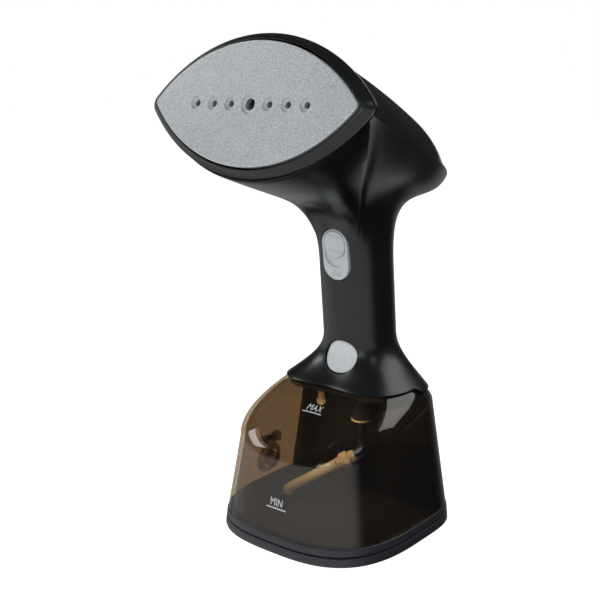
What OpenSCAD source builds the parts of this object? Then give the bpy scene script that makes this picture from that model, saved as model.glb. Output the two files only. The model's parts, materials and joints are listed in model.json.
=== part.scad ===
// Hand-held garment steamer: a steam head on an upright handle that stands on its own water tank.
// +Z is up, the steam plate faces -Y, and the origin is on the floor under the body's centre line.

/* [Head] */
// Half width of the steam plate
plate_half_w = 63.6; // [61:0.1:64]
// Half height of the steam plate
plate_half_h = 30.4; // [28:0.1:30.8]
// Thickness of the steam plate
plate_t = 4; // [3:0.5:4]
// Half width of the bezel round the plate
bezel_half_w = 70.6; // [70:0.1:74]
// Half height of the bezel round the plate
bezel_half_h = 35.1; // [34.6:0.1:37]
// Lean of the plate back from upright, in degrees
tilt = 14.1; // [12:0.1:16]
// Height of the middle of the plate above the floor
plate_z = 236.9; // [234:0.5:240]
// Distance of the middle of the plate in front of the origin
plate_y = 71; // [69:0.5:73]
// Length of the head behind the plate
head_len = 161.4; // [155:0.2:165]

/* [Handle] */
// Half width of the grip
grip_half_w = 18.95; // [18.5:0.05:21]
// Half depth of the grip
grip_half_d = 16.7; // [16.2:0.1:18]
// Y of the grip's centre at the neck
grip_y = 22.6; // [22:0.1:23]
// Forward lean of the grip, in mm per mm of height
grip_lean = 0.101; // [0.09:0.001:0.11]
// Wall of the casings
wall = 2.2; // [1.8:0.1:2.4]

/* [Tank] */
// Half width of the foot at the floor
foot_half_w = 56.5; // [55:0.1:59]
// Reach of the foot in front of the origin
foot_front = 58.3; // [57:0.1:60]
// Reach of the foot behind the origin
foot_rear = 50.7; // [50:0.1:52]
// Height of the joint between the tank and the handle
seam_z = 76.5; // [76:0.5:77]
// Y of the tank's flat back wall
tank_back = 26; // [25:0.5:26]
// Wall of the clear tank
tank_wall = 2.4; // [2:0.1:2.6]

/* [Controls] */
// Travel of the steam trigger
trigger_travel = 2.5; // [1.5:0.1:2.5]
// Travel of the trigger's lock slider
lock_travel = 5; // [3:0.5:5]
// Travel of the tank release button
release_travel = 3.2; // [3:0.1:3.2]

/* [Hidden] */

neck_z = 108.5;          // the grip's foot, where the lower flare starts
flare_z = 148;           // the grip's top, where the upper flare starts
body_y = 5;              // centre of the tank's sections
edge_s = 6.2;            // depth of the shells' front edge behind the plate
gap = 0.2;               // seam between neighbouring casings
n_edge = 9;              // grid steps from the bezel's bottom to its tip
n_side = 19;             // grid steps from the bezel's tip to the rear
half_n = n_edge + n_side;
split_n = n_edge + 13;   // grid line of the seam between front and rear shells
edge_turn = 38.7;        // angle at the grip that the bezel's half edge takes up
band_z = 10.3;           // top of the tank's dark band
foot_z = 5.2;            // top of the foot ring
spine_y = tank_back + 0.7;
valve = [5.5, 17.5];     // axis of the tank's valve and the nipple in it
head_mid_s = 104;        // depth at which the head starts to round off
pod_z = 155;             // middle of the steam trigger
pod_y = 1.6;             // Y of the grip's front face behind the trigger
pod_lean = 7.4;          // lean of the trigger, in degrees
button_z = 95.8;         // middle of the release button
button_half_w = 10.6;
button_half_h = 8.8;
pump_z = 110;            // foot of the pump's coil
cap_z = 21.5;            // height of the filler cap
cap_y = 4;               // Y of the filler cap
cap_slope = 9.4;         // lean of the tank's side there, in degrees
c_black = [0.05, 0.05, 0.055];
c_gloss = [0.02, 0.02, 0.022];
c_grey = [0.66, 0.69, 0.70];
c_slate = [0.2, 0.22, 0.25];
c_amber = [0.62, 0.44, 0.24];
c_smoke = [0.35, 0.3, 0.26, 0.5];
c_steel = [0.7, 0.7, 0.72];

// ---- Section maths ----
function flat(rows) = [for (row = rows) for (p = row) p];
function back(row) = [for (i = [len(row) - 1:-1:0]) row[i]];
// Distance from the centre to a rounded oval's edge, along the direction c, s
function oval(c, s, a, b, n) = pow(pow(abs(c) / a, n) + pow(abs(s) / b, n), -1 / n);
function mix(a, b, k) = a + (b - a) * k;
function bow(a, b, c, d, k) =
    pow(1 - k, 3) * a + 3 * k * pow(1 - k, 2) * b + 3 * k * k * (1 - k) * c + pow(k, 3) * d;

// Grip: a leaning oval
function grip_pt(th, z, ins = 0) =
    let(r = oval(cos(th), sin(th), grip_half_w - ins, grip_half_d - ins, 2.44))
    [r * cos(th), grip_y - grip_lean * (z - 104) + r * sin(th), z];

// Tank skirt: a squarish oval that narrows upwards
function skirt_pt(th, z, ins = 0) =
    let(ahead = sin(th) < 0,
        reach = ahead ? foot_front - 0.147 * z + body_y : foot_rear - 0.06 * z - body_y,
        r = oval(cos(th), sin(th), foot_half_w - 0.165 * z - ins, reach - ins, ahead ? 2.94 : 4.32))
    [r * cos(th), body_y + r * sin(th), z];

// Height of the crease between skirt and dome, which slopes up to the rear
function crease_z(th, z = 60, turns = 6) =
    turns == 0 ? z : crease_z(th, 62.6 + 0.241 * skirt_pt(th, z)[1], turns - 1);

// The dome's fall from the crease to the neck, as a share of the whole
function fall(th, u) =
    let(side = cos(th) * cos(th), end = 1 - side, ahead = sin(th) < 0,
        a = 3.03 * side + (ahead ? 1.48 : -1.45) * end,
        b = -2.88 * side + (ahead ? -2.88 : 0.99) * end)
    pow(1 - u, 2) * (1 + a * u + b * u * u);

// Outer surface of the tank, dome and grip, moved in by ins
function body_pt(th, z, ins = 0) =
    let(zc = crease_z(th))
    z <= zc ? skirt_pt(th, z, ins)
    : z >= neck_z ? grip_pt(th, z, ins)
    : let(low = skirt_pt(th, zc, ins) - grip_pt(th, zc, ins), top = grip_pt(th, z, ins),
          k = fall(th, (z - zc) / (neck_z - zc)))
      [top[0] + low[0] * k, top[1] + low[1] * k, z];

// Direction in which the body reaches y at height z, found by halving
function corner(y, z, ins, lo = 0, hi = 88, turns = 12) =
    turns == 0 ? (lo + hi) / 2
    : let(mid = (lo + hi) / 2)
      body_pt(mid, z, ins)[1] > y ? corner(y, z, ins, lo, mid, turns - 1)
                                  : corner(y, z, ins, mid, hi, turns - 1);

// Head: point at depth s behind the plate, x across and v up the plate's plane
function head_pt(s, x, v) =
    [x, -plate_y + s * cos(tilt) + v * sin(tilt), plate_z - s * sin(tilt) + v * cos(tilt)];
function rounding(s) =
    s < head_mid_s ? 1 : sqrt(max(0, 1 - pow((s - head_mid_s) / (head_len - head_mid_s), 2)));
function head_w(s) =
    (36.2 + 18.5 * (1 - pow(s / 140, 1.6)) + (bezel_half_w - 54.7) * exp(-s / 15)) * rounding(s);
function head_h(s) = (bezel_half_h + 0.2 - 12.5 * pow(s / 140, 1.8)) * rounding(s);
function ridge_v(s) = -10 * pow(s / 160, 1.8);
function arc_pt(w, h, k) =
    let(r = (w * w + h * h) / (2 * h), turn = atan2(w, r - h))
    [r * sin(turn * k), r * cos(turn * k) - r + h];

// Closed line round the head's underside: the bezel's lower edge, the side ridges and the rear tip
function side_s(i) = edge_s + (head_len - 0.2 - edge_s) * (1 - pow(1 - (i - n_edge) / n_side, 1.5));
function ridge_pt(i, ins = 0) =
    i < n_edge
    ? let(w = head_w(edge_s) - ins, h = bezel_half_h - ins, r = (w * w + h * h) / (2 * h),
          x = w * i / n_edge)
      head_pt(edge_s, x, r - h - sqrt(r * r - x * x))
    : let(s = min(side_s(i), head_len - 0.2 - ins))
      head_pt(s, max(head_w(s) - ins, 0.4), ridge_v(s) - gap / 2);
function grip_turn(i) =
    i < n_edge ? -90 + edge_turn * i / n_edge
               : edge_turn - 90 + (180 - edge_turn) * pow((i - n_edge) / n_side, 1.3);

// Upper flare: a bow from the top of the grip to the head's lower edge
function flare_half(i, k, ins) =
    let(th = grip_turn(i), side = cos(th) * cos(th), end = 1 - side, ahead = sin(th) < 0,
        a = 62.8 * side + (ahead ? 43.5 : 36.9) * end,
        b = 27 * side + (ahead ? 65 : 11.6) * end,
        rise = min(66, 112 * side + (ahead ? 18.4 * end : 0)),
        foot = grip_pt(th, flare_z, ins), rim = ridge_pt(i, ins),
        out = [rim[0], rim[1] - 17, 0] / norm([rim[0], rim[1] - 17, 0]))
    bow(foot, foot + a * [0, -grip_lean, 1], rim - b * (out * cos(rise) + [0, 0, sin(rise)]), rim, k);
function fold(i) = let(j = (i + 4 * half_n) % (2 * half_n)) j > half_n ? 2 * half_n - j : j;
function sign_of(i) = ((i + 4 * half_n) % (2 * half_n)) > half_n ? -1 : 1;
function mirrored(p, i) = [p[0] * sign_of(i), p[1], p[2]];
casing_z = [seam_z + 0.5, 79.5, 82.5, 85.5, 88.5, 91.5, 95, 99, 103.5, neck_z, 118, 128, 138, flare_z];
flare_steps = 11;
function casing_grid(first, last, ins, low = seam_z + 0.5) = concat(
    [for (z = casing_z)
        [for (i = [first:last]) mirrored(body_pt(grip_turn(fold(i)), max(z, low), ins), i)]],
    [for (k = [1:flare_steps])
        [for (i = [first:last]) mirrored(flare_half(fold(i), k / flare_steps, ins), i)]]);

// ---- Solids from rings and grids ----
// Closed skin over rings that run counter-clockwise from above; joined end to end, or capped
module skin(rings, joined = false) {
    n = len(rings[0]);
    m = len(rings);
    side = [for (i = [0:m - (joined ? 1 : 2)]) for (j = [0:n - 1])
        let(a = i * n + j, b = i * n + (j + 1) % n, next = ((i + 1) % m) * n)
        each [[a, next + j, next + (j + 1) % n], [a, next + (j + 1) % n, b]]];
    caps = joined ? [] : [[for (j = [0:n - 1]) j], [for (j = [n - 1:-1:0]) (m - 1) * n + j]];
    polyhedron(flat(rings), concat(side, caps), convexity = 8);
}

// Sheet with a wall between an outer and an inner grid of points
module sheet(outer, inner) {
    w = len(outer[0]);
    n = 2 * w;
    m = len(outer);
    rings = [for (i = [0:m - 1]) concat(outer[i], back(inner[i]))];
    side = [for (i = [0:m - 2]) for (j = [0:n - 1])
        let(a = i * n + j, b = i * n + (j + 1) % n, c = (i + 1) * n + (j + 1) % n, d = (i + 1) * n + j)
        each [[a, d, c], [a, c, b]]];
    top = (m - 1) * n;
    ends = [for (j = [0:w - 2]) each [[j, j + 1, n - 2 - j], [j, n - 2 - j, n - 1 - j],
        [top + j, top + n - 2 - j, top + j + 1], [top + j, top + n - 1 - j, top + n - 2 - j]]];
    polyhedron(flat(rings), concat(side, ends), convexity = 8);
}

// Round tube or rod along a path of points
module tube(path, r, sides = 8) {
    last = len(path) - 1;
    rings = [for (i = [0:last])
        let(dir = path[min(i + 1, last)] - path[max(i - 1, 0)], t = dir / norm(dir),
            side = cross(t, abs(t[1]) < 0.9 ? [0, 1, 0] : [1, 0, 0]),
            u = side / norm(side), v = cross(t, u))
        [for (j = [0:sides - 1]) path[i] + r * (u * cos(360 * j / sides) + v * sin(360 * j / sides))]];
    skin(rings);
}

// Coil spring along +Z from the origin
module spring(length, r, wire, turns) {
    steps = turns * 12;
    tube([for (i = [0:steps])
        [r * cos(i * 30), r * sin(i * 30), mix(wire, length - wire, i / steps)]], wire, 6);
}

module lens(w, h) {
    r = (w * w + h * h) / (2 * h);
    intersection() {
        translate([0, h - r]) circle(r, $fn = 180);
        translate([0, r - h]) circle(r, $fn = 180);
    }
}

// Frame of the head: x across, y up the plate, +z out of the plate's face
module on_head() {
    translate([0, -plate_y, plate_z]) rotate([90 - tilt, 0, 0]) children();
}

// Frame of the trigger: y up the grip, +z out of its front
module on_pod() {
    translate([0, pod_y, pod_z]) rotate([90 + pod_lean, 0, 0]) children();
}

// Frame of the filler cap on the tank's left side: x forwards, y up the wall, +z out of it
module on_cap() {
    side_x = body_pt(180, cap_z)[0];
    translate([side_x, cap_y, cap_z]) rotate([0, cap_slope, 0]) rotate([90, 0, -90]) children();
}

module rod(r, length, sides = 32) { cylinder(r = r, h = length, $fn = sides); }
module ring_rod(r, hole, length, sides = 32) {
    difference() {
        rod(r, length, sides);
        translate([0, 0, -1]) rod(hole, length + 2, sides);
    }
}
module block(size) { translate([-size[0] / 2, -size[1] / 2, 0]) cube(size); }
module oblong(w, h) {
    hull() for (side = [-1, 1]) translate([0, side * (h - w) / 2]) circle(w / 2, $fn = 32);
}
module screw(length) {
    rod(2.6, 1.8, 24);
    translate([0, 0, -length]) rod(1.4, length, 24);
}

// ---- Casings ----
cover_rows = 20;
cover_cols = 20;
module head_cover() {
    tip_s = head_len - 0.12;
    function row_s(i) = edge_s + (tip_s - edge_s) * (1 - pow(1 - i / cover_rows, 1.6));
    function cover_row(s, ins) =
        [for (j = [0:cover_cols])
            let(p = arc_pt(max(head_w(s) - ins * 1.2, 0.5), max(head_h(s) - ins, 0.4),
                           2 * j / cover_cols - 1))
            head_pt(s, p[0], p[1] + ridge_v(s) + gap / 2)];
    color(c_gloss) {
        sheet([for (i = [0:cover_rows]) cover_row(row_s(i), 0)], [for (i = [0:cover_rows])
            cover_row(min(row_s(i), tip_s - wall * 0.8 * i / cover_rows), wall)]);
        board_posts();
    }
}

module front_shell() {
    color(c_black) difference() {
        sheet(casing_grid(-split_n, split_n, 0), casing_grid(-split_n, split_n, wall));
        on_pod() translate([0, 0, -12]) linear_extrude(24) oblong(17.8, 29.8);
        translate([0, 14, button_z]) rotate([90, 0, 0]) linear_extrude(24) button_outline(0.4);
    }
}

screw_xs = [-5, 5];
screw_zs = [116, 130];
module rear_shell() {
    color(c_black) difference() {
        union() {
            sheet(casing_grid(split_n, 2 * half_n - split_n, 0),
                casing_grid(split_n, 2 * half_n - split_n, wall));
            for (x = screw_xs) for (z = screw_zs)
                translate([x, 32.4, z]) rotate([-90, 0, 0]) rod(3.4, screw_seat(z) - 32.5, 24);
        }
        for (x = screw_xs) for (z = screw_zs) translate([x, screw_seat(z), z]) rotate([-90, 0, 0]) {
            rod(2.7, 6, 24);
            translate([0, 0, -8]) rod(1.5, 9, 24);
        }
    }
}

// Ring of the body's outline behind the plane y
function spine_ring(z, ins) =
    let(y = spine_y + ins, c = corner(y, z, ins))
    [for (i = [0:18]) body_pt(mix(c, 180 - c, i / 18), z, ins)];
module spine_shell() {
    low = band_z + 0.5;
    color(c_black) difference() {
        skin(concat([for (z = [low, 30, 50, 62, 69, 73, seam_z]) spine_ring(z, 0)],
            [for (z = [seam_z, 73, 69, 62, 50, 30, low + wall]) spine_ring(z, wall)]));
        translate([0, 60, 24]) rotate([90, 0, 0]) rod(7.2, 30);
    }
}

// Floor of the handle that closes it over the tank, with the nipple's hole and the latch's slot
module dock_plate() {
    z = seam_z + 2.5;
    color(c_black) difference() {
        translate([0, 0, seam_z + 0.6]) linear_extrude(2.2)
            polygon([for (i = [0:2 * half_n - 1])
                let(p = mirrored(body_pt(grip_turn(fold(i)), z + 1, wall + 0.4), i)) [p[0], p[1]]]);
        translate([valve[0], valve[1], 0]) rod(4.5, 100);
        translate([0, 4.6, 0]) block([15, 11.4, 100]);
        for (side = [-1, 1]) translate([side * 10.7, 31.6, 0]) rod(2.2, 100, 24);
    }
}

module plate_bezel() {
    color(c_black) on_head() translate([0, 0, -6]) linear_extrude(3.6) difference() {
        lens(bezel_half_w, bezel_half_h);
        lens(plate_half_w + 0.9, plate_half_h + 0.9);
    }
}

// ---- Steam head ----
hole_x = [-34.8, -23.5, -12.2, 0, 12.2, 23.5, 34.8];
module steam_plate() {
    color(c_steel) on_head() difference() {
        translate([0, 0, -plate_t]) linear_extrude(plate_t) lens(plate_half_w, plate_half_h);
        for (x = hole_x) {
            wide = x == 0 ? 1.8 : 1;
            translate([x, 0, -plate_t - 1]) rod(1.6 * wide, plate_t + 2, 28);
            translate([x, 0, -1.2]) rod(3.3 * (x == 0 ? 1.45 : 1), 2, 28);
        }
    }
}

module plate_gasket() {
    color([0.7, 0.3, 0.2]) on_head() translate([0, 0, -plate_t - 2]) linear_extrude(2) difference() {
        lens(plate_half_w - 1, plate_half_h - 1);
        lens(plate_half_w - 12, plate_half_h - 7);
    }
}

module heater_block() {
    depth = 16;
    color(c_steel) on_head() translate([0, 0, -plate_t - 2 - depth]) difference() {
        union() {
            intersection() {
                linear_extrude(depth) lens(plate_half_w - 5, plate_half_h - 4);
                translate([-46, -30, 0]) cube([92, 60, depth]);
            }
            translate([0, 0, -5]) rod(6, 6);
        }
        translate([0, 0, 6]) linear_extrude(depth) lens(40, 18);
        translate([0, 0, -6]) rod(2.5, 20);
        for (x = [-30, 30]) translate([x, 0, -1]) rod(1.5, 6, 24);
    }
}

// Tubular element in a U round the inlet, clamped to the back of the heater block
module heating_element() {
    color([0.35, 0.33, 0.32]) on_head() translate([0, 0, -plate_t - 21.4]) {
        for (side = [-1, 1]) translate([-30, side * 11, 0]) rotate([0, 90, 0]) rod(3, 42);
        translate([12, 0, 0]) rotate([0, 0, -90]) rotate_extrude(angle = 180, $fn = 48)
            translate([11, 0]) circle(3, $fn = 24);
        for (side = [-1, 1]) translate([-38, side * 11, 0]) rotate([0, 90, 0]) rod(1.2, 8, 24);
    }
}

module boiler_bracket() {
    color([0.75, 0.7, 0.6]) on_head() translate([0, 0, -plate_t - 28.5]) difference() {
        union() {
            intersection() {
                linear_extrude(2) lens(plate_half_w - 7, plate_half_h - 6);
                translate([-44, -30, 0]) cube([88, 60, 2]);
            }
            for (x = [-38, 38]) translate([x, 0, 0]) block([7, 10, 6.4]);
        }
        translate([0, 0, -1]) rod(6.4, 6);
        for (x = [-30, 30]) translate([x, 0, -1]) rod(1.6, 4, 24);
    }
}

module bracket_screws() {
    color(c_steel) on_head() for (x = [-30, 30])
        translate([x, 0, -plate_t - 28.6]) mirror([0, 0, 1]) screw(10);
}

module thermostat() {
    color([0.8, 0.78, 0.7]) on_head() translate([-18, 9, -plate_t - 35]) {
        rod(6.5, 6.3, 36);
        for (side = [-1, 1]) translate([side * 3.4, 0, -5]) block([1, 4, 6]);
    }
}

module thermal_fuse() {
    color(c_steel) on_head() translate([12, -10, -plate_t - 31]) rotate([0, 90, 0]) {
        rod(1.9, 14, 24);
        translate([0, 0, -6]) rod(0.5, 26, 16);
    }
}

// Brass elbow that carries the water from the hose into the heater block
module steam_inlet() {
    color([0.8, 0.62, 0.3]) on_head() translate([0, 0, -plate_t - 37]) {
        ring_rod(2.4, 1.4, 18, 24);
        ring_rod(4, 1.4, 3, 24);
    }
}

// ---- Water and power in the handle ----
inlet_end = head_pt(plate_t + 37.2, 0, 0);
module steam_hose() {
    start = pump_at + [0, 0, 35.7];
    behind = [0, 26.2, 160];
    color([0.85, 0.85, 0.82]) tube(concat([start],
        [for (k = [0:5]) bow(start + [0, 0, 0.8], start + [0, 0, 3.2], [0, 26.2, 151.4], behind, k / 5)],
        [for (k = [1:10]) bow(behind, [0, 26.2, 190], inlet_end + 26 * [0, cos(tilt), -sin(tilt)],
            inlet_end, k / 10)]), 2.4);
}

board_s = 70;            // depth of the board's front edge behind the plate
board_v = 4;             // height of the board in the head
board = head_pt(board_s, 0, board_v);
post_x = 18;
post_ys = [4, 44];
module control_board() {
    color([0.15, 0.4, 0.25]) translate(board) rotate([-tilt, 0, 0]) difference() {
        translate([-22, 0, 0]) cube([44, 48, 1.6]);
        for (x = [-post_x, post_x]) for (y = post_ys) translate([x, y, -1]) rod(1.2, 4, 24);
    }
}

// Posts under the cover that the board hangs from
module board_posts() {
    for (x = [-post_x, post_x]) for (y = post_ys) {
        s = board_s + y;
        w = head_w(s);
        h = head_h(s);
        r = (w * w + h * h) / (2 * h);
        top = sqrt(r * r - x * x) - r + h + ridge_v(s) - wall * 0.7;
        translate(head_pt(s, x, board_v + 1.7)) rotate([-tilt, 0, 0]) rod(2.4, top - board_v - 1.7, 24);
    }
}

module board_parts() {
    color([0.2, 0.3, 0.6]) translate(board) rotate([-tilt, 0, 0]) translate([0, 0, 1.7]) {
        translate([-6, 18, 0]) block([15, 19, 12]);
        translate([9, 14, 0]) rod(5, 11, 28);
        translate([8, 28, 0]) block([14, 7, 8]);
        translate([-4, 40, 0]) block([16, 8, 5]);
        translate([10, 40, 0]) rod(3.6, 5, 28);
    }
}

// Leads from the board down the sides of the grip to the cord's clamp in the spine
module power_wires() {
    top = board + [0, 8, -2];
    color([0.7, 0.25, 0.2]) for (side = [-1, 1])
        tube([for (k = [0:12]) bow(top + [side * 14, 0, 0], [side * 14, 24, 185],
            [side * 14, 19, 150], [side * 14, 22.4, 108], k / 12)], 1, 6);
    color([0.2, 0.3, 0.7]) for (side = [-1, 1])
        tube([for (k = [0:8]) bow([side * 14, 22.4, 107.8], [side * 14, 27, 92],
            [side * 9, 36, 74], [side * 5, 37.5, 36], k / 8)], 1, 6);
}

pump_at = [0, 22.4, pump_z];
// Y of the seat under a screw's head in the back of the grip
function screw_seat(z) = grip_y - grip_lean * (z - 104) + 14.65;
module pump_frame() {
    color(c_steel) difference() {
        translate(pump_at) {
            for (z = [0, 25]) translate([0, 0, z]) difference() {
                block([20, 18, 1.4]);
                translate([0, 0, -1]) rod(4.1, 4);
            }
            for (side = [-1, 1]) translate([side * 10.7, 0, 0]) block([1.4, 12, 26.4]);
            translate([0, 9.1, 0]) block([16, 1.4, 26.4]);
        }
        for (x = screw_xs) for (z = screw_zs) translate([x, 28, z]) rotate([-90, 0, 0]) rod(1.5, 8, 24);
    }
}

module pump_coil() {
    color([0.6, 0.3, 0.15]) translate(pump_at + [0, 0, 1.6]) {
        ring_rod(8.2, 4.2, 23.2, 40);
    }
}

module pump_tube() {
    color([0.85, 0.85, 0.85]) translate(pump_at) {
        translate([0, 0, -5]) ring_rod(4, 3, 36, 32);
        translate([0, 0, 31]) ring_rod(4, 1.2, 1.5, 32);
        translate([0, 0, 32.5]) ring_rod(2, 1.2, 3, 24);
        translate([0, 0, -6.5]) ring_rod(4, 1.2, 1.5, 32);
        translate([0, 0, -11]) ring_rod(2, 1.2, 4.5, 24);
    }
}

module pump_plunger() {
    color(c_steel) translate(pump_at + [0, 0, 3]) ring_rod(2.94, 1, 15, 32);
}

module pump_spring() {
    color(c_steel) translate(pump_at + [0, 0, 18.2]) spring(12.6, 2.2, 0.3, 6);
}

module pump_grommets() {
    color([0.12, 0.12, 0.12]) for (z = [-4.6, 28]) translate(pump_at + [0, 0, z])
        ring_rod(7, 4.05, 2.4, 36);
}

module feed_hose() {
    start = [valve[0], valve[1], 92.8];
    color(c_amber) tube(concat([start], [for (k = [0:6]) bow(start + [0, 0, 0.5], start + [0, 0, 2.6],
        pump_at - [0, 0, 14.6], pump_at - [0, 0, 11.8], k / 6)], [pump_at - [0, 0, 11.2]]), 2.4);
}

module water_nipple() {
    color([0.3, 0.3, 0.32]) translate([valve[0], valve[1], 0]) {
        translate([0, 0, 67]) ring_rod(3.4, 1.8, seam_z - 66.6, 36);
        translate([0, 0, seam_z + 0.3]) ring_rod(4.5, 1.8, 10, 36);
        translate([0, 0, seam_z + 3]) ring_rod(5.2, 1.8, 1.6, 36);
        translate([0, 0, seam_z + 10]) ring_rod(2.2, 1.4, 6, 28);
    }
}

module nipple_seal() {
    color([0.1, 0.1, 0.1]) translate([valve[0], valve[1], 70]) rotate_extrude($fn = 36)
        translate([3.9, 0]) circle(0.5, $fn = 16);
}

// Screws in the back of the grip that hold the rear shell to the pump's frame
module shell_screws() {
    color(c_steel) for (z = screw_zs) for (x = screw_xs)
        translate([x, screw_seat(z), z]) rotate([-90, 0, 0]) difference() {
            union() {
                rod(2.4, 1.1, 24);
                translate([0, 0, 30.9 - screw_seat(z)]) rod(1.4, screw_seat(z) - 30.9, 24);
            }
            for (turn = [0, 90]) rotate([0, 0, turn]) translate([0, 0, 0.5]) block([2.8, 0.6, 2]);
        }
}

module cord_gland() {
    color([0.1, 0.1, 0.1]) translate([0, 0, 24]) rotate([-90, 0, 0]) {
        translate([0, 0, 50.2]) ring_rod(10, 3.6, 4, 48);
        translate([0, 0, 40]) ring_rod(7, 3.6, 10.3, 48);
    }
}

module cord_clamp() {
    color([0.8, 0.8, 0.75]) translate([0, 34, 15]) {
        translate([0, 0, 14.4]) block([26, 8, 3.4]);
        for (side = [-1, 1]) translate([side * 10, 0, 0]) block([5, 8, 14.2]);
    }
}

// ---- Controls ----
spring_ys = [-10.3, 10.3];
module steam_switch() {
    color([0.12, 0.12, 0.12]) on_pod() translate([0, 0, -18]) {
        block([5.8, 12.8, 6.5]);
        translate([0, 0, 6.4]) block([2.4, 3, 0.8]);
    }
    color(c_steel) on_pod() for (y = [-5, 0, 5]) translate([0, y, -19.6]) block([3.2, 0.6, 1.7]);
}

module switch_bracket() {
    color(c_black) on_pod() translate([0, 0, -14.5]) difference() {
        block([24, 27, 3.9]);
        translate([0, 0, -1]) block([6.1, 13.1, 12]);
        for (y = spring_ys) translate([0, y, 1.4]) rod(2.9, 8);
    }
}

// Oblong push trigger with a recess for the lock slider and a raised steam mark
module steam_trigger() {
    color(c_grey) on_pod() {
        difference() {
            union() {
                translate([0, 0, -4.4]) linear_extrude(8) oblong(17, 29);
                translate([0, 0, -8.1]) rod(2.2, 4);
            }
            translate([0, 4.6, 2]) linear_extrude(4) oblong(12, 18);
            translate([0, 4.6, -0.6]) block([4.6, 9.6 + lock_travel * 0.4, 4]);
        }
        translate([0, -9.4, 3.6]) {
            for (x = [-1.8, 0, 1.8]) translate([x, -1.4, 0]) block([0.6, 2.8, 0.35]);
            translate([0, 1.6, 0]) linear_extrude(0.35) difference() {
                circle(2.4, $fn = 32);
                circle(1.8, $fn = 32);
                translate([-4, -4]) square([8, 4]);
            }
        }
    }
}

module trigger_spring() {
    color(c_steel) on_pod() for (y = spring_ys) translate([0, y, -13]) spring(8.5, 2.2, 0.35, 4);
}

module lock_slider() {
    color(c_grey) on_pod() translate([0, 7.2, 0]) {
        translate([0, 0, 2.15]) linear_extrude(1.8) oblong(11.2, 12.4);
        for (y = [-3.2, 3.4]) translate([0, y, 3.9]) block([7, 1.1, 0.5]);
        translate([0, 0.6, -0.4]) block([4.2, 4.4, 2.6]);
    }
}

module button_outline(grow = 0) {
    polygon([for (i = [0:63]) let(c = cos(i * 5.625), s = sin(i * 5.625),
        r = oval(c, s, button_half_w + grow, button_half_h + grow, 2.15)) [r * c, r * s]]);
}

latch_x = -3;            // X of the latch, which sits beside the valve
button_proud = 0.7;      // how far the button stands out of the casing
// Release button, whose face follows the casing, with the tooth that holds the tank's lug
module release_button() {
    color([0.78, 0.79, 0.82]) {
        intersection() {
            translate([0, 9.2, button_z]) rotate([90, 0, 0]) linear_extrude(20) button_outline();
            skin([for (z = [83:2.6:109]) [for (th = [0:5:355]) body_pt(th, z, -button_proud)]]);
        }
        translate([latch_x, 9.9, 80]) block([8, 1.8, 15]);
        translate([latch_x, 7.7, 80]) block([8, 3.2, 2.4]);
    }
}

module release_spring() {
    color(c_steel) translate([0, 9.5, 99.4]) rotate([-90, 0, 0]) spring(7.1, 2.6, 0.35, 3);
}

module button_guide() {
    color(c_black) translate([0, 17.6, 97.2]) {
        block([28, 1.6, 5.8]);
        for (side = [-1, 1]) translate([side * 9.6, -2.4, 0]) block([2.8, 4.8, 5.8]);
    }
}

// ---- Water tank ----
around_n = 44;
back_n = 8;
skirt_rows = 4;
dome_rows = 9;
function tank_row_z(k, th) =
    let(zc = crease_z(th))
    k <= skirt_rows ? mix(band_z, zc, k / skirt_rows) : mix(zc, seam_z, (k - skirt_rows) / dome_rows);
function row_corner(k, y, ins, th = 22, turns = 3) =
    turns == 0 ? th : row_corner(k, y, ins, corner(y, tank_row_z(k, th), ins), turns - 1);
function tank_ring(k, ins, drop = 0) =
    let(y = tank_back - ins, c = row_corner(k, y, ins),
        round_part = [for (i = [0:around_n])
            let(th = mix(-180 - c, c, i / around_n)) body_pt(th, tank_row_z(k, th), ins)],
        first = round_part[0], last = round_part[around_n],
        wall_part = [for (i = [1:back_n - 1]) mix(last, first, i / back_n)])
    [for (p = concat(round_part, wall_part)) [p[0], p[1], p[2] - drop]];
function hole_ring(like, r, z) =
    [for (p = like) let(turn = atan2(p[1] - valve[1], p[0] - valve[0]))
        [valve[0] + r * cos(turn), valve[1] + r * sin(turn), z]];
module tank_shell() {
    rows = skirt_rows + dome_rows;
    top = tank_ring(rows, 0);
    color(c_smoke) difference() {
        skin(concat([for (k = [0:rows]) tank_ring(k, 0)], [hole_ring(top, 6.2, seam_z)],
            [hole_ring(top, 6.2, seam_z - tank_wall)],
            [for (k = [rows:-1:1]) tank_ring(k, tank_wall, k > skirt_rows ? tank_wall
                * (k - skirt_rows) / dome_rows : 0)], [tank_ring(0, tank_wall)]), joined = true);
        on_cap() translate([0, 0, -8]) rod(7, 16);
    }
}

// Closed outline of the foot at height z, moved in by ins
function foot_ring_at(z, ins) = [for (i = [0:55]) let(p = skirt_pt(i * 360 / 56, z, ins)) [p[0], p[1], z]];
module tank_band() {
    color(c_slate) skin([foot_ring_at(8.3, 1.6), foot_ring_at(foot_z + 0.6, 1.6),
        foot_ring_at(foot_z + 0.6, 0.2), foot_ring_at(foot_z + 1, -0.3), foot_ring_at(band_z - 0.5, -0.3),
        foot_ring_at(band_z, 0.1)]);
}

module foot_ring() {
    color(c_slate) difference() {
        skin([foot_ring_at(0, 0.7), foot_ring_at(0.8, 0), foot_ring_at(foot_z, -0.2),
            foot_ring_at(foot_z, 1.8), foot_ring_at(8.2, 1.8), foot_ring_at(8.2, 4), foot_ring_at(1.8, 4)]);
        for (x = [-36, 36]) for (y = [-30, 34]) translate([x, y, -1]) rod(1.7, 6, 24);
    }
}

module foot_screws() {
    color(c_steel) for (x = [-36, 36]) for (y = [-30, 34]) translate([x, y, 2]) {
        rod(1.5, 6.2, 24);
        rod(3, 1.6, 24);
    }
}

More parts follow.
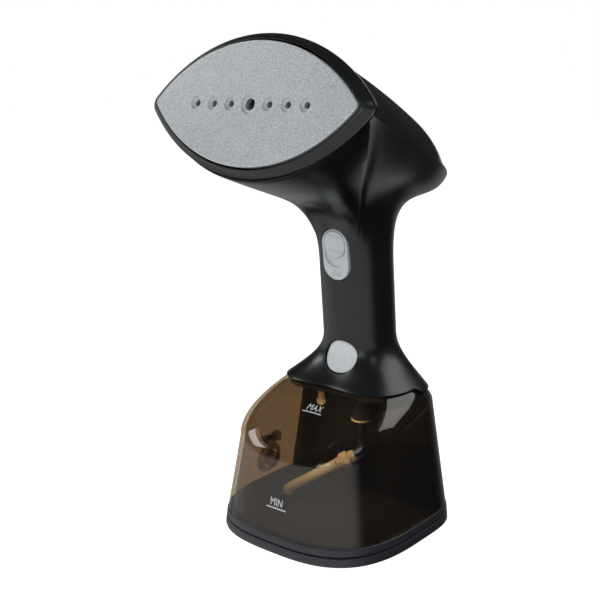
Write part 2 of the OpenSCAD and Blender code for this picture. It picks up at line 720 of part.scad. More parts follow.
// Valve that hangs from the tank's roof and takes the handle's nipple
module valve_housing() {
    color(c_black) translate([valve[0], valve[1], 0]) {
        translate([0, 0, 58]) ring_rod(5.4, 4.6, 18, 36);
        translate([0, 0, 56]) ring_rod(5.4, 2.2, 2, 36);
        translate([0, 0, 55]) ring_rod(5, 2.2, 1, 36);
    }
}

module valve_seal() {
    color([0.5, 0.1, 0.1]) translate([valve[0], valve[1], 58.2]) ring_rod(4.4, 2.6, 2.4, 36);
}

connector_at = [1.5, 8, 33];
union_dir = [0.676, 0.568, 0.469];
module suction_pipe() {
    color([0.15, 0.14, 0.13]) tube([for (k = [0:6]) bow([valve[0], valve[1], 54.9],
        [valve[0], valve[1], 44], connector_at + 11 * union_dir,
        connector_at + 6.5 * union_dir, k / 6)], 2.1);
}

// Winged union between the pipe and the hose
module hose_connector() {
    color(c_amber) translate(connector_at) rotate([0, 0, 40]) rotate([0, 62, 0]) {
        translate([0, 0, -6]) rod(3.4, 12, 28);
        translate([0, 0, -3]) rod(4.8, 5, 28);
        for (side = [-1, 1]) translate([0, side * 5.4, -1.4]) block([2, 5, 5.6]);
    }
}

hose_low = [-22.5, -15.5, 14.2];
module suction_hose() {
    start = connector_at - 6.3 * union_dir;
    color(c_amber) tube(concat([for (k = [0:6]) bow(start, start - 8 * union_dir,
        hose_low + [7, 6, 7], hose_low + [0, 0, 2], k / 6)], [hose_low - [0, 0, 0.4]]), 3.1, 12);
}

module strainer() {
    color([0.25, 0.22, 0.2]) translate([hose_low[0], hose_low[1], band_z + 0.2]) {
        rod(4.6, 2.2, 28);
        translate([0, 0, 2]) rod(3.4, 1.3, 28);
    }
}

module air_vent() {
    color(c_amber) translate([-20, 12, 61]) {
        rod(2, 12.9, 24);
        translate([0, 0, 1]) rod(2.9, 3, 24);
    }
}

// Lug on the tank's roof that the release button's tooth holds
module latch_lug() {
    color(c_black) translate([0, 0, seam_z]) {
        translate([latch_x, 3.4, 0]) block([8, 2.2, 8.2]);
        translate([latch_x, 4.5, 6.6]) block([8, 4.4, 1.8]);
    }
}

// Flap over the filler hole, hinged on a pin above it
hinge_r = 1.2;
hinge_up = 12.4;
hinge_out = 2.7;
module filler_cap() {
    color([0.16, 0.15, 0.15]) on_cap() difference() {
        union() {
            translate([0, 0, 0.4]) rod(9.4, 2, 48);
            translate([0, 9, 0.4]) block([9, 7, 2]);
            translate([-4.5, hinge_up, hinge_out]) rotate([0, 90, 0]) rod(2.2, 9, 32);
            translate([0, 0, -2.6]) rod(6.4, 3.2, 40);
        }
        translate([-6, hinge_up, hinge_out]) rotate([0, 90, 0]) rod(hinge_r + 0.05, 12, 32);
        translate([0, 0, -3]) rod(4.6, 3.6, 32);
    }
}

module filler_seal() {
    color([0.1, 0.1, 0.1]) on_cap() translate([0, 0, -2.9]) ring_rod(4.5, 2.5, 3, 32);
}

module filler_pin() {
    color(c_black) on_cap() {
        translate([-8.4, hinge_up, hinge_out]) rotate([0, 90, 0]) rod(hinge_r, 16.8, 32);
        for (side = [-1, 1]) translate([side * 6.6, hinge_up, 0.05]) block([3.4, 5, 4.4]);
    }
}

head_cover();
front_shell();
rear_shell();
spine_shell();
dock_plate();
plate_bezel();
steam_plate();
plate_gasket();
heater_block();
heating_element();
boiler_bracket();
bracket_screws();
thermostat();
thermal_fuse();
steam_inlet();
steam_hose();
control_board();
board_parts();
power_wires();
pump_frame();
pump_coil();
pump_tube();
pump_spring();
pump_plunger();
pump_grommets();
feed_hose();
water_nipple();
nipple_seal();
shell_screws();
cord_gland();
cord_clamp();
steam_switch();
switch_bracket();
steam_trigger();
trigger_spring();
lock_slider();
release_button();
release_spring();
button_guide();
tank_shell();
tank_band();
foot_ring();
foot_screws();
valve_housing();
valve_seal();
suction_pipe();
hose_connector();
suction_hose();
strainer();
air_vent();
latch_lug();
filler_cap();
filler_seal();
filler_pin();
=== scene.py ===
"""Builds the finished look of a hand-held garment steamer round its CAD frame.

Lengths in the shape's formulas are millimetres, with +Z up and the steam plate facing -Y.
"""

import json
import math

import bmesh
import bpy
from bpy.props import FloatProperty, FloatVectorProperty, PointerProperty
from mathutils import Matrix, Vector


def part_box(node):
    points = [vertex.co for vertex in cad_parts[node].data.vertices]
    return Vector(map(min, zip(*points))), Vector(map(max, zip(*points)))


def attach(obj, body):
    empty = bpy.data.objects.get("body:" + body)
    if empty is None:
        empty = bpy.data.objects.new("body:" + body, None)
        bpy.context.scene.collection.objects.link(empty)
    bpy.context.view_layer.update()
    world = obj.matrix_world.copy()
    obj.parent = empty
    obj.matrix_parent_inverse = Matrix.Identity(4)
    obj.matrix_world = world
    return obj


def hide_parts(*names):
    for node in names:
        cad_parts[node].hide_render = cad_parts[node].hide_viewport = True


bl_info = {
    "name": "Garment Steamer",
    "version": (1, 0, 0),
    "blender": (4, 5, 0),
    "location": "View3D > Sidebar > Steamer",
    "description": "Casings, steam plate, controls and clear water tank of a garment steamer",
    "category": "Add Mesh",
}

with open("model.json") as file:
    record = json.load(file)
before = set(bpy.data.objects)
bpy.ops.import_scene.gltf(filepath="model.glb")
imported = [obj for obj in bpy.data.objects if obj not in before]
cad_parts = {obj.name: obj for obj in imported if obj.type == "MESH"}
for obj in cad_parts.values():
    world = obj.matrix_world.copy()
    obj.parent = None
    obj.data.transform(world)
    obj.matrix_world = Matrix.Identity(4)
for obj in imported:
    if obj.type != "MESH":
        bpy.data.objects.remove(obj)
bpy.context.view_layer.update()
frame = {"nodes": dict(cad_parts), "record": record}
NODES = frame["nodes"]
MM = 0.001


def half_span(node, axis=0):
    """Half of a CAD node's width, or its reach along another axis, in metres."""
    return float(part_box(node)[1][axis])


# ---- Sizes and colours ----
def length_property(name, description, default):
    return FloatProperty(
        name=name, description=description, default=default, min=0.0, unit="LENGTH", precision=5
    )


def colour_property(name, description, default):
    return FloatVectorProperty(
        name=name, description=description, default=default, size=3, subtype="COLOR", min=0.0, max=1.0
    )


class SteamerHeadSizes(bpy.types.PropertyGroup):
    """Sizes of the steam head."""

    tilt: FloatProperty(
        name="Tilt",
        description="Lean of the plate back from upright",
        default=math.radians(14.1),
        subtype="ANGLE",
    )
    plate_half_width: length_property(
        "Plate Half Width", "Middle of the steam plate to its tip", half_span("steam_plate")
    )
    plate_half_height: length_property("Plate Half Height", "Middle of the plate to its upper edge", 0.0304)
    plate_height: length_property("Plate Height", "Middle of the plate above the floor", 0.2369)
    plate_reach: length_property("Plate Reach", "Middle of the plate in front of the origin", 0.071)
    bezel_half_width: length_property(
        "Bezel Half Width", "Middle of the bezel to its tip", half_span("plate_bezel")
    )
    bezel_half_height: length_property("Bezel Half Height", "Middle of the bezel to its upper edge", 0.0351)
    length: length_property("Head Length", "Depth of the head behind the plate", 0.1614)


class SteamerHandleSizes(bpy.types.PropertyGroup):
    """Sizes of the upright grip."""

    half_width: length_property("Grip Half Width", "Half width of the grip", 0.01895)
    half_depth: length_property("Grip Half Depth", "Half depth of the grip", 0.0167)
    wall: length_property("Wall", "Wall of the casings", 0.0016)
    seam: length_property("Seam", "Gap between neighbouring casings", 0.0002)


class SteamerTankSizes(bpy.types.PropertyGroup):
    """Sizes of the water tank and its foot."""

    foot_half_width: length_property("Foot Half Width", "Half width of the foot at the floor", 0.0565)
    foot_front: length_property("Foot Front", "Reach of the foot in front of the origin", 0.0583)
    foot_rear: length_property("Foot Rear", "Reach of the foot behind the origin", 0.0507)
    top: length_property("Tank Top", "Height of the joint with the handle", 0.0765)
    back: length_property("Tank Back", "Flat back wall of the tank behind the origin", 0.026)
    wall: length_property("Tank Wall", "Wall of the clear tank", 0.0024)


class SteamerColours(bpy.types.PropertyGroup):
    """Colours of the finishes."""

    plate: colour_property("Plate", "Sand-textured metal of the steam plate", (0.62, 0.655, 0.67))
    gloss: colour_property("Gloss Black", "Polished cover of the head", (0.006, 0.007, 0.008))
    satin: colour_property("Satin Black", "Moulded casings", (0.010, 0.011, 0.013))
    controls: colour_property("Trigger Grey", "Trigger and its slider", (0.62, 0.67, 0.70))
    button: colour_property("Button Grey", "Release button", (0.74, 0.78, 0.80))
    smoke: colour_property(
        "Smoke Tint", "Light that one face of the clear tank lets through", (0.58, 0.50, 0.405)
    )
    slate: colour_property("Slate", "Band and foot", (0.030, 0.034, 0.040))
    amber: colour_property("Amber", "Silicone and fittings in the tank", (0.92, 0.74, 0.46))


# ---- Shape of the steamer ----
def cosd(angle):
    return math.cos(math.radians(angle))


def sind(angle):
    return math.sin(math.radians(angle))


def turned(degrees, axis):
    return Matrix.Rotation(math.radians(degrees), 4, axis)


def mix(a, b, k):
    return a + (b - a) * k


def halved(high, reached):
    """Angle between 0 and high at which reached(angle) turns true."""
    low = 0.0
    for _ in range(16):
        mid = (low + high) / 2
        low, high = (low, mid) if reached(mid) else (mid, high)
    return (low + high) / 2


def oval(c, s, a, b, n):
    """Distance from the centre to a rounded oval's edge, along the direction c, s."""
    return ((abs(c) / a) ** n + (abs(s) / b) ** n) ** (-1 / n)


def bow(a, b, c, d, k):
    """Point on a cubic curve."""
    return tuple(
        (1 - k) ** 3 * p + 3 * k * (1 - k) ** 2 * q + 3 * k * k * (1 - k) * r + k**3 * t
        for p, q, r, t in zip(a, b, c, d)
    )


class SteamerShape:
    """Surfaces of the steamer in millimetres. Angles run from +X through +Y, in degrees."""

    NECK_Z, FLARE_Z = 108.5, 148.0  # the grip's foot and top
    GRIP_Y, GRIP_Z, GRIP_LEAN = 22.6, 104, 0.101  # middle of the grip at one height, and its lean
    SEAM_RISE, SEAM_GAP = 2.8, 0.4  # how much higher the tank's front reaches, and the casings' gap
    SEAM_CORNER, SEAM_RUN = 25.9, 7  # where the seam has dropped, and the reach that it drops over
    TANK_Z = 10.3  # top of the dark band
    BODY_Y = 5.0  # centre of the tank's sections
    # Slope and bend of the dome, at its sides, front and back
    DOME_SLOPE, DOME_BEND = (3.03, 1.48, -1.45), (-2.88, -2.88, 0.99)
    # Pull of the flare's curve at the grip and at the rim, and its rise at the rim, likewise
    GRIP_PULL, RIM_PULL, RIM_RISE = (62.8, 43.5, 36.9), (27, 65, 11.6), (112, 18.4, 0)
    RISE_LIMIT = 66
    HEAD_W, REAR_W, MID_S = 54.7, 36.2, 140  # half widths behind the bezel and at a depth
    ROUND_S = 104  # depth at which the head starts to close
    EDGE_S = 6.2  # depth of the casings' front edge behind the plate
    EDGE_STEPS, SIDE_STEPS = 9, 19  # steps along the bezel's lower edge and along the side ridge
    EDGE_TURN = 38.7  # angle at the grip that the bezel's half edge takes up
    SPLIT = 22  # step of the seam between the front and rear casings

    def __init__(self, head, handle, tank):
        self.tilt = math.degrees(head.tilt)
        self.bezel_w, self.bezel_h = head.bezel_half_width / MM, head.bezel_half_height / MM
        self.plate_w, self.plate_h = head.plate_half_width / MM, head.plate_half_height / MM
        self.plate_z, self.plate_y = head.plate_height / MM, head.plate_reach / MM
        self.length = head.length / MM
        self.grip_w, self.grip_d = handle.half_width / MM, handle.half_depth / MM
        self.gap = handle.seam / MM
        self.foot_w, self.foot_front = tank.foot_half_width / MM, tank.foot_front / MM
        self.foot_rear, self.tank_back = tank.foot_rear / MM, tank.back / MM
        self.seam_z = round(tank.top / MM, 3)

    @staticmethod
    def by_way(th, sides, front, back):
        """Value at an angle, from those at the sides, the front and the back."""
        side = cosd(th) ** 2
        return sides * side + (front if sind(th) < 0 else back) * (1 - side)

    def grip_y(self, z):
        return self.GRIP_Y - self.GRIP_LEAN * (z - self.GRIP_Z)

    def grip(self, th, z, ins=0.0):
        r = oval(cosd(th), sind(th), self.grip_w - ins, self.grip_d - ins, 2.44)
        return (r * cosd(th), self.grip_y(z) + r * sind(th), z)

    def seam(self, th):
        """Height of the seam between tank and casings: it drops into the corners of the back housing."""
        k = min(1.0, max(0.0, (self.SEAM_CORNER - self.body(th, 78)[1]) / self.SEAM_RUN))
        return self.seam_z + self.SEAM_RISE * k * k * (3 - 2 * k)

    def skirt(self, th, z, ins=0.0):
        ahead = sind(th) < 0
        if ahead:
            reach = self.foot_front - 0.147 * z + self.BODY_Y
        else:
            reach = self.foot_rear - 0.06 * z - self.BODY_Y
        r = oval(cosd(th), sind(th), self.foot_w - 0.165 * z - ins, reach - ins, 2.94 if ahead else 4.32)
        return (r * cosd(th), self.BODY_Y + r * sind(th), z)

    def crease(self, th):
        """Height of the crease between skirt and dome."""
        z = 60.0
        for _ in range(6):
            z = 62.6 + 0.241 * self.skirt(th, z)[1]
        return z

    def body(self, th, z, ins=0.0):
        """Outer surface of the tank, dome and grip, moved in by ins."""
        zc = self.crease(th)
        if z <= zc:
            return self.skirt(th, z, ins)
        top = self.grip(th, z, ins)
        if z >= self.NECK_Z:
            return top
        u = (z - zc) / (self.NECK_Z - zc)
        a, b = self.by_way(th, *self.DOME_SLOPE), self.by_way(th, *self.DOME_BEND)
        k = (1 - u) ** 2 * (1 + a * u + b * u * u)
        low, foot = self.skirt(th, zc, ins), self.grip(th, zc, ins)
        return (top[0] + (low[0] - foot[0]) * k, top[1] + (low[1] - foot[1]) * k, z)

    def corner(self, y, z, ins=0.0):
        """Angle at which the body's right side reaches y."""
        return halved(88.0, lambda th: self.body(th, z, ins)[1] > y)

    def front_y(self, x, z, ins=0.0):
        """Y of the body's front at x, z."""
        turn = halved(90.0, lambda th: self.body(th - 90, z, ins)[0] > abs(x))
        return self.body(turn - 90, z, ins)[1]

    def head(self, s, x, v):
        """Point at depth s behind the plate, x across and v up the plate's plane."""
        c, n = cosd(self.tilt), sind(self.tilt)
        return (x, -self.plate_y + s * c + v * n, self.plate_z - s * n + v * c)

    def rounding(self, s):
        if s < self.ROUND_S:
            return 1.0
        return math.sqrt(max(0.0, 1 - ((s - self.ROUND_S) / (self.length - self.ROUND_S)) ** 2))

    def head_w(self, s):
        spread = (self.bezel_w - self.HEAD_W) * math.exp(-s / 15)
        return (self.REAR_W + 18.5 * (1 - (s / self.MID_S) ** 1.6) + spread) * self.rounding(s)

    def head_h(self, s):
        return (self.bezel_h + 0.2 - 12.5 * (s / self.MID_S) ** 1.8) * self.rounding(s)

    def ridge_v(self, s):
        return -10 * (s / 160) ** 1.8

    def cover(self, s, k):
        """Top of the head: k runs from the left ridge at -1 to the right one at 1."""
        w, h = max(self.head_w(s), 0.02), max(self.head_h(s), 0.02)
        r = (w * w + h * h) / (2 * h)
        turn = math.atan2(w, r - h) * k
        return self.head(s, r * math.sin(turn), r * math.cos(turn) - r + h + self.ridge_v(s) + self.gap / 2)

    def ridge(self, i):
        """Closed line round the head's underside, i steps from the bezel's lowest point."""
        if i < self.EDGE_STEPS:
            w, h = self.head_w(self.EDGE_S), self.bezel_h
            r = (w * w + h * h) / (2 * h)
            x = w * i / self.EDGE_STEPS
            return self.head(self.EDGE_S, x, r - h - math.sqrt(r * r - x * x))
        end = self.length - 0.2
        s = self.EDGE_S + (end - self.EDGE_S) * (1 - (1 - (i - self.EDGE_STEPS) / self.SIDE_STEPS) ** 1.5)
        return self.head(s, self.head_w(s), self.ridge_v(s) - self.gap / 2)

    def casing(self, i, t):
        """Handle's surface: t from 0 at the tank to 1 at the top of the grip and 2 at the head."""
        whole = self.EDGE_STEPS + self.SIDE_STEPS
        j, sign = (i, 1) if 0 <= i <= whole else (-i, -1) if i < 0 else (2 * whole - i, -1)
        if j < self.EDGE_STEPS:
            th = -90 + self.EDGE_TURN * j / self.EDGE_STEPS
        else:
            k = (j - self.EDGE_STEPS) / self.SIDE_STEPS
            th = self.EDGE_TURN - 90 + (180 - self.EDGE_TURN) * k**1.3
        if t <= 1:
            x, y, z = self.body(th, mix(self.seam(th) + self.SEAM_GAP, self.FLARE_Z, t))
            return (x * sign, y, z)
        a, b = self.by_way(th, *self.GRIP_PULL), self.by_way(th, *self.RIM_PULL)
        rise = min(self.RISE_LIMIT, self.by_way(th, *self.RIM_RISE))
        foot, rim = self.grip(th, self.FLARE_Z), self.ridge(j)
        out = Vector((rim[0], rim[1] - 17, 0)).normalized() * cosd(rise) + Vector((0, 0, sind(rise)))
        pulled = (foot[0], foot[1] - self.GRIP_LEAN * a, foot[2] + a)
        x, y, z = bow(foot, pulled, Vector(rim) - b * out, rim, t - 1)
        return (x * sign, y, z)

    def on_head(self):
        """Frame of the plate: x across, y up it, +z out of its face."""
        return Matrix.Translation((0, -self.plate_y, self.plate_z)) @ turned(90 - self.tilt, "X")

    def on_pod(self):
        """Frame of the trigger: y up the grip, +z out of its front."""
        return Matrix.Translation((0, 1.6, 155)) @ turned(97.4, "X")


def shape_of(scene):
    return SteamerShape(scene.steamer_head, scene.steamer_handle, scene.steamer_tank)


def lens(w, h, tip, count=192):
    """Outline of a pointed oval with rounded tips, evenly spread by the direction it faces."""
    r = (w * w + h * h) / (2 * h)
    c = r - h
    x_tip = math.sqrt((r - tip) ** 2 - c * c)
    turn = math.atan2(c, x_tip)
    points = []
    for i in range(count):
        phi = 2 * math.pi * i / count
        c_phi, s_phi = math.cos(phi), math.sin(phi)
        if math.atan2(abs(s_phi), abs(c_phi)) < turn:
            points.append((math.copysign(x_tip, c_phi) + tip * c_phi, tip * s_phi))
        else:
            points.append((r * c_phi, r * s_phi - math.copysign(c, s_phi)))
    return points


def around(circles, count=96):
    """Outline stretched round circles given as x, y and radius."""
    points = []
    for i in range(count):
        n = (math.cos(2 * math.pi * i / count), math.sin(2 * math.pi * i / count))
        x, y, r = max(circles, key=lambda c: c[0] * n[0] + c[1] * n[1] + c[2])
        points.append((x + r * n[0], y + r * n[1]))
    return points


def oblong(w, h, y=0.0, count=96):
    return around([(0, y + (h - w) / 2, w / 2), (0, y - (h - w) / 2, w / 2)], count)


def circle(r, count, x=0.0, y=0.0):
    angles = (2 * math.pi * i / count for i in range(count))
    return [(x + r * math.cos(a), y + r * math.sin(a)) for a in angles]


BUTTON_Z = 95.8
BUTTON_FRAME = Matrix.Translation((0, 0, BUTTON_Z)) @ turned(90, "X")
VALVE_X, VALVE_Y = 5.5, 17.5


def button_outline(grow=0.0, count=96):
    points = []
    for i in range(count):
        c, n = cosd(360 * i / count), sind(360 * i / count)
        r = oval(c, n, 10.6 + grow, 8.8 + grow, 2.15)
        points.append((r * c, r * n))
    return points


# ---- Mesh building ----
def grid(cols, rows, place):
    """Sheet whose points lie where place(u, w) puts them."""
    bm = bmesh.new()
    bmesh.ops.create_grid(bm, x_segments=cols, y_segments=rows, size=0.5)
    for v in bm.verts:
        v.co = place(v.co.x + 0.5, v.co.y + 0.5)
    bmesh.ops.remove_doubles(bm, verts=bm.verts, dist=0.002)
    return bm


def face_out(bm, centre=None):
    """Points the faces outwards; an open sheet needs the centre that it stands round."""
    bmesh.ops.recalc_face_normals(bm, faces=bm.faces)
    if centre is not None:
        middle = Vector(centre)
        if sum((f.calc_center_median() - middle).dot(f.normal) * f.calc_area() for f in bm.faces) < 0:
            bmesh.ops.reverse_faces(bm, faces=bm.faces)
    return bm


def slab(outline, low, high, rounded=0.0, steps=3, matrix=None, both=False):
    """Outline extruded from low to high, with its top edge rounded."""
    bm = bmesh.new()
    ring = bmesh.ops.create_circle(bm, cap_ends=True, segments=len(outline), radius=1)["verts"]
    for v, (x, y) in zip(ring, outline):
        v.co = (x, y, low)
    made = bmesh.ops.extrude_face_region(bm, geom=bm.faces[:])["geom"]
    lifted = {g for g in made if isinstance(g, bmesh.types.BMVert)}
    bmesh.ops.translate(bm, verts=list(lifted), vec=(0, 0, high - low))
    face_out(bm)
    if rounded:
        rim = [
            e for e in bm.edges
            if (both or set(e.verts) <= lifted) and abs(e.verts[0].co.z - e.verts[1].co.z) < 1e-6
        ]
        bmesh.ops.bevel(
            bm, geom=rim, offset=rounded, segments=steps, profile=0.5, affect="EDGES", material=-1,
            clamp_overlap=True,
        )
    if matrix is not None:
        bmesh.ops.transform(bm, matrix=matrix, verts=bm.verts)
    return bm


def spun(profile, steps=48, matrix=None):
    """Profile of radius and height turned about +Z."""
    bm = bmesh.new()
    chain = [bm.verts.new((r, 0, z)) for r, z in profile]
    links = [bm.edges.new(pair) for pair in zip(chain, chain[1:])]
    bmesh.ops.spin(
        bm, geom=chain + links, cent=(0, 0, 0), axis=(0, 0, 1), angle=2 * math.pi, steps=steps, use_merge=True
    )
    bmesh.ops.remove_doubles(bm, verts=bm.verts, dist=0.0005)
    face_out(bm)
    if matrix is not None:
        bmesh.ops.transform(bm, matrix=matrix, verts=bm.verts)
    return bm


def open_edges(bm, above=-math.inf, below=math.inf):
    """Edges round a mesh's openings, whose first end lies between two heights."""
    return [e for e in bm.edges if e.is_boundary and above < e.verts[0].co.z < below]


def swept(path, radius, sides=20):
    """Round tube along a path; radius may be a function of the share of the way along it."""
    points = [Vector(p) for p in path]
    last = len(points) - 1

    def place(u, w):
        i = round(w * last)
        along = (points[min(i + 1, last)] - points[max(i - 1, 0)]).normalized()
        side = along.cross(Vector((0, 1, 0) if abs(along.y) < 0.9 else (1, 0, 0))).normalized()
        r = radius(w) if callable(radius) else radius
        turn = 2 * math.pi * u
        return points[i] + r * (side * math.cos(turn) + along.cross(side) * math.sin(turn))

    bm = grid(sides, last, place)
    bmesh.ops.holes_fill(bm, edges=open_edges(bm))
    return face_out(bm)


def joined(*parts):
    """One bmesh from several."""
    whole = bmesh.new()
    for part in parts:
        mesh = bpy.data.meshes.new("part")
        part.to_mesh(mesh)
        part.free()
        whole.from_mesh(mesh)
        bpy.data.meshes.remove(mesh)
    return whole


def to_object(name, bm):
    mesh = bpy.data.meshes.new(name)
    bmesh.ops.scale(bm, vec=(MM, MM, MM), verts=bm.verts)
    bm.to_mesh(mesh)
    bm.free()
    obj = bpy.data.objects.new(name, mesh)
    bpy.context.scene.collection.objects.link(obj)
    return obj


def add_piece(name, bm, body, finish, stands_for=(), wall=0.0, cutters=(), edge=0.0, sharp=34):
    """Makes a piece from a bmesh in millimetres and hangs it on its body.

    It is first given a wall, then cut, and its edges are rounded last.
    """
    obj = to_object(name, bm)
    tools = [to_object(f"{name}_cutter", cutter) for cutter in cutters]
    if wall:
        thick = obj.modifiers.new("Wall", "SOLIDIFY")
        thick.thickness, thick.offset, thick.use_even_offset = wall * MM, -1, False
    for tool in tools:
        cut = obj.modifiers.new("Cut", "BOOLEAN")
        cut.object, cut.operation, cut.solver = tool, "DIFFERENCE", "EXACT"
    if edge:
        bevel = obj.modifiers.new("Edges", "BEVEL")
        bevel.width, bevel.segments, bevel.limit_method = edge * MM, 2, "ANGLE"
        bevel.angle_limit, bevel.harden_normals = math.radians(48), False
    if obj.modifiers:
        seen = obj.evaluated_get(bpy.context.evaluated_depsgraph_get())
        finished = bpy.data.meshes.new_from_object(seen)
        obj.modifiers.clear()
        old, obj.data = obj.data, finished
        bpy.data.meshes.remove(old)
        finished.name = name
    for tool in tools:
        mesh = tool.data
        bpy.data.objects.remove(tool)
        bpy.data.meshes.remove(mesh)
    obj.data.shade_smooth()
    obj.data.set_sharp_from_angle(angle=math.radians(sharp))
    obj.data.materials.clear()
    obj.data.materials.append(finish)
    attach(obj, body)
    if stands_for:
        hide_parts(*stands_for)
    return obj


# ---- Finishes ----
class Signal:
    """Output of a shader node. Sums, differences and products of signals add Math nodes."""

    def __init__(self, finish, socket):
        self.finish, self.socket = finish, socket

    def maths(self, operation, *values, clamp=False):
        return self.finish.node(
            "ShaderNodeMath", {"operation": operation, "use_clamp": clamp}, dict(enumerate(values))
        )

    def __add__(self, other):
        return self.maths("ADD", self, other)

    def __sub__(self, other):
        return self.maths("SUBTRACT", self, other)

    def __rsub__(self, other):
        return self.maths("SUBTRACT", other, self)

    def __mul__(self, other):
        return self.maths("MULTIPLY", self, other)

    __radd__, __rmul__ = __add__, __mul__

    def clamped(self):
        return self.maths("ADD", self, 0.0, clamp=True)


class Finish:
    """Builds the nodes of one material, or of the world."""

    def __init__(self, name, world=False):
        self.owner = (bpy.data.worlds if world else bpy.data.materials).new(name)
        self.owner.use_nodes = True
        self.tree = self.owner.node_tree
        self.tree.nodes.clear()
        self.end = "ShaderNodeOutputWorld" if world else "ShaderNodeOutputMaterial"

    def node(self, kind, settings=None, values=None, output=0):
        made = self.tree.nodes.new(kind)
        for key, value in (settings or {}).items():
            setattr(made, key, value)
        for key, value in (values or {}).items():
            if isinstance(value, Signal):
                self.tree.links.new(value.socket, made.inputs[key])
            elif hasattr(value, "__len__") and len(value) == 3 and made.inputs[key].type == "RGBA":
                made.inputs[key].default_value = (*value, 1)
            else:
                made.inputs[key].default_value = value
        return Signal(self, made.outputs[output])

    def noise(self, scale, detail=2.0, stretch=(1, 1, 1), rough=0.5):
        spot = self.node("ShaderNodeTexCoord", output="Object")
        spot = self.node("ShaderNodeMapping", None, {"Vector": spot, "Scale": stretch})
        values = {"Vector": spot, "Scale": scale, "Detail": detail, "Roughness": rough}
        return self.node("ShaderNodeTexNoise", None, values)

    def tint(self, dark, light, factor):
        return self.node("ShaderNodeMix", {"data_type": "RGBA"}, {0: factor, 6: dark, 7: light}, output=2)

    def bump(self, height, strength, depth):
        """Normal from a height; depth is in metres."""
        return self.node("ShaderNodeBump", None, {"Height": height, "Strength": strength, "Distance": depth})

    def worn(self, amount):
        """Lightness that edges gain from handling."""
        point = self.node("ShaderNodeNewGeometry", output="Pointiness")
        return ((point - 0.5) * amount).clamped()

    def solid(self, **values):
        named = {key.replace("_", " "): value for key, value in values.items()}
        return self.node("ShaderNodeBsdfPrincipled", None, named)

    def done(self, surface):
        end = self.tree.nodes.new(self.end)
        self.tree.links.new(surface.socket, end.inputs["Surface"])
        return self.owner


def shade(colour, k):
    return tuple(min(1.0, max(0.0, c * k)) for c in colour)


GRAIN_DEPTH = 0.00001  # metres


def moulded(name, colour, rough, grain=1600.0, strength=0.25, mottle=0.12, wear=0.5, coat=0.0):
    """Moulded plastic or rubber: fine grain, faint flow marks, handling haze and worn edges."""
    f = Finish(name)
    flow = f.noise(26.0, 3.0, (1, 1, 0.35))
    haze = f.noise(90.0, 4.0, rough=0.6)
    body = f.tint(shade(colour, 1 - mottle), shade(colour, 1 + mottle), flow)
    body = f.tint(body, shade(colour, 2.2 if max(colour) < 0.3 else 1.15), f.worn(wear * 6))
    fine = f.noise(grain, 2.0)
    return f.done(
        f.solid(
            Base_Color=body,
            Roughness=(haze - 0.5) * 0.14 + flow * 0.06 + (rough - 0.03),
            Normal=f.bump(fine, strength, GRAIN_DEPTH),
            Coat_Weight=coat,
            Coat_Roughness=0.06,
        )
    )


def sanded_metal(name, colour, rough, metal, grain=1500.0):
    """Blasted or cast metal: grains that catch the light, and cloudy patches of tone."""
    f = Finish(name)
    speck = f.noise(grain, 3.0, rough=0.7)
    cloud = f.noise(38.0, 4.0)
    sharp = ((speck - 0.5) * 3.4 + 0.5).clamped()
    body = f.tint(shade(colour, 0.66), shade(colour, 1.3), sharp)
    body = f.tint(body, shade(colour, 1.1), cloud * 0.45)
    return f.done(
        f.solid(
            Base_Color=body,
            Metallic=metal,
            Roughness=(speck - 0.5) * 0.3 + cloud * 0.08 + rough,
            Normal=f.bump(speck, 0.5, 4 * GRAIN_DEPTH),
        )
    )


def plated(name, colour, rough=0.28):
    """Turned or drawn metal: fine lines along the part and a few dull spots."""
    f = Finish(name)
    lines = f.noise(900.0, 2.0, (1, 1, 0.05))
    spots = f.noise(160.0, 4.0, rough=0.65)
    return f.done(
        f.solid(
            Base_Color=f.tint(shade(colour, 0.75), shade(colour, 1.15), spots),
            Metallic=1.0,
            Roughness=lines * 0.16 + (spots - 0.5) * 0.2 + rough,
            Normal=f.bump(lines, 0.2, GRAIN_DEPTH),
        )
    )


def smoke(name, tint):
    """One face of the clear smoked tank: tinted and see-through, with a faint haze and a polished skin."""
    f = Finish(name)
    cloud = f.noise(18.0, 3.0)
    streak = f.noise(70.0, 4.0, (1, 1, 0.3), rough=0.6)
    clear = f.node("ShaderNodeBsdfTransparent", None, {"Color": tint})
    film = f.solid(
        Base_Color=f.tint((0.30, 0.29, 0.285), (0.42, 0.40, 0.38), cloud), Roughness=0.45 + streak * 0.1
    )
    hazy = f.node("ShaderNodeMixShader", None, {0: cloud * 0.03 + 0.005, 1: clear, 2: film})
    skin = f.node("ShaderNodeBsdfGlossy", None, {"Color": (1, 1, 1), "Roughness": 0.03})
    slant = f.node("ShaderNodeLayerWeight", None, {"Blend": 0.5}, output="Facing")
    square = slant * slant
    shine = square * square * slant * 0.8 + 0.045
    return f.done(f.node("ShaderNodeMixShader", None, {0: shine, 1: hazy, 2: skin}))


def printed(name, colour):
    """Pad-printed white ink with thin spots."""
    f = Finish(name)
    thin = f.noise(700.0, 3.0)
    return f.done(
        f.solid(Base_Color=f.tint(shade(colour, 0.8), colour, thin), Roughness=thin * 0.2 + 0.4)
    )


def silicone(name, colour):
    """Soft translucent rubber with a dusty bloom."""
    f = Finish(name)
    bloom = f.noise(140.0, 4.0, rough=0.6)
    return f.done(
        f.solid(
            Base_Color=f.tint(shade(colour, 0.7), shade(colour, 1.2), bloom),
            Roughness=bloom * 0.2 + 0.38,
            Normal=f.bump(bloom, 0.15, 0.0001),
            Subsurface_Weight=0.25,
            Subsurface_Radius=(0.004, 0.002, 0.001),
            Subsurface_Scale=1.0,
        )
    )


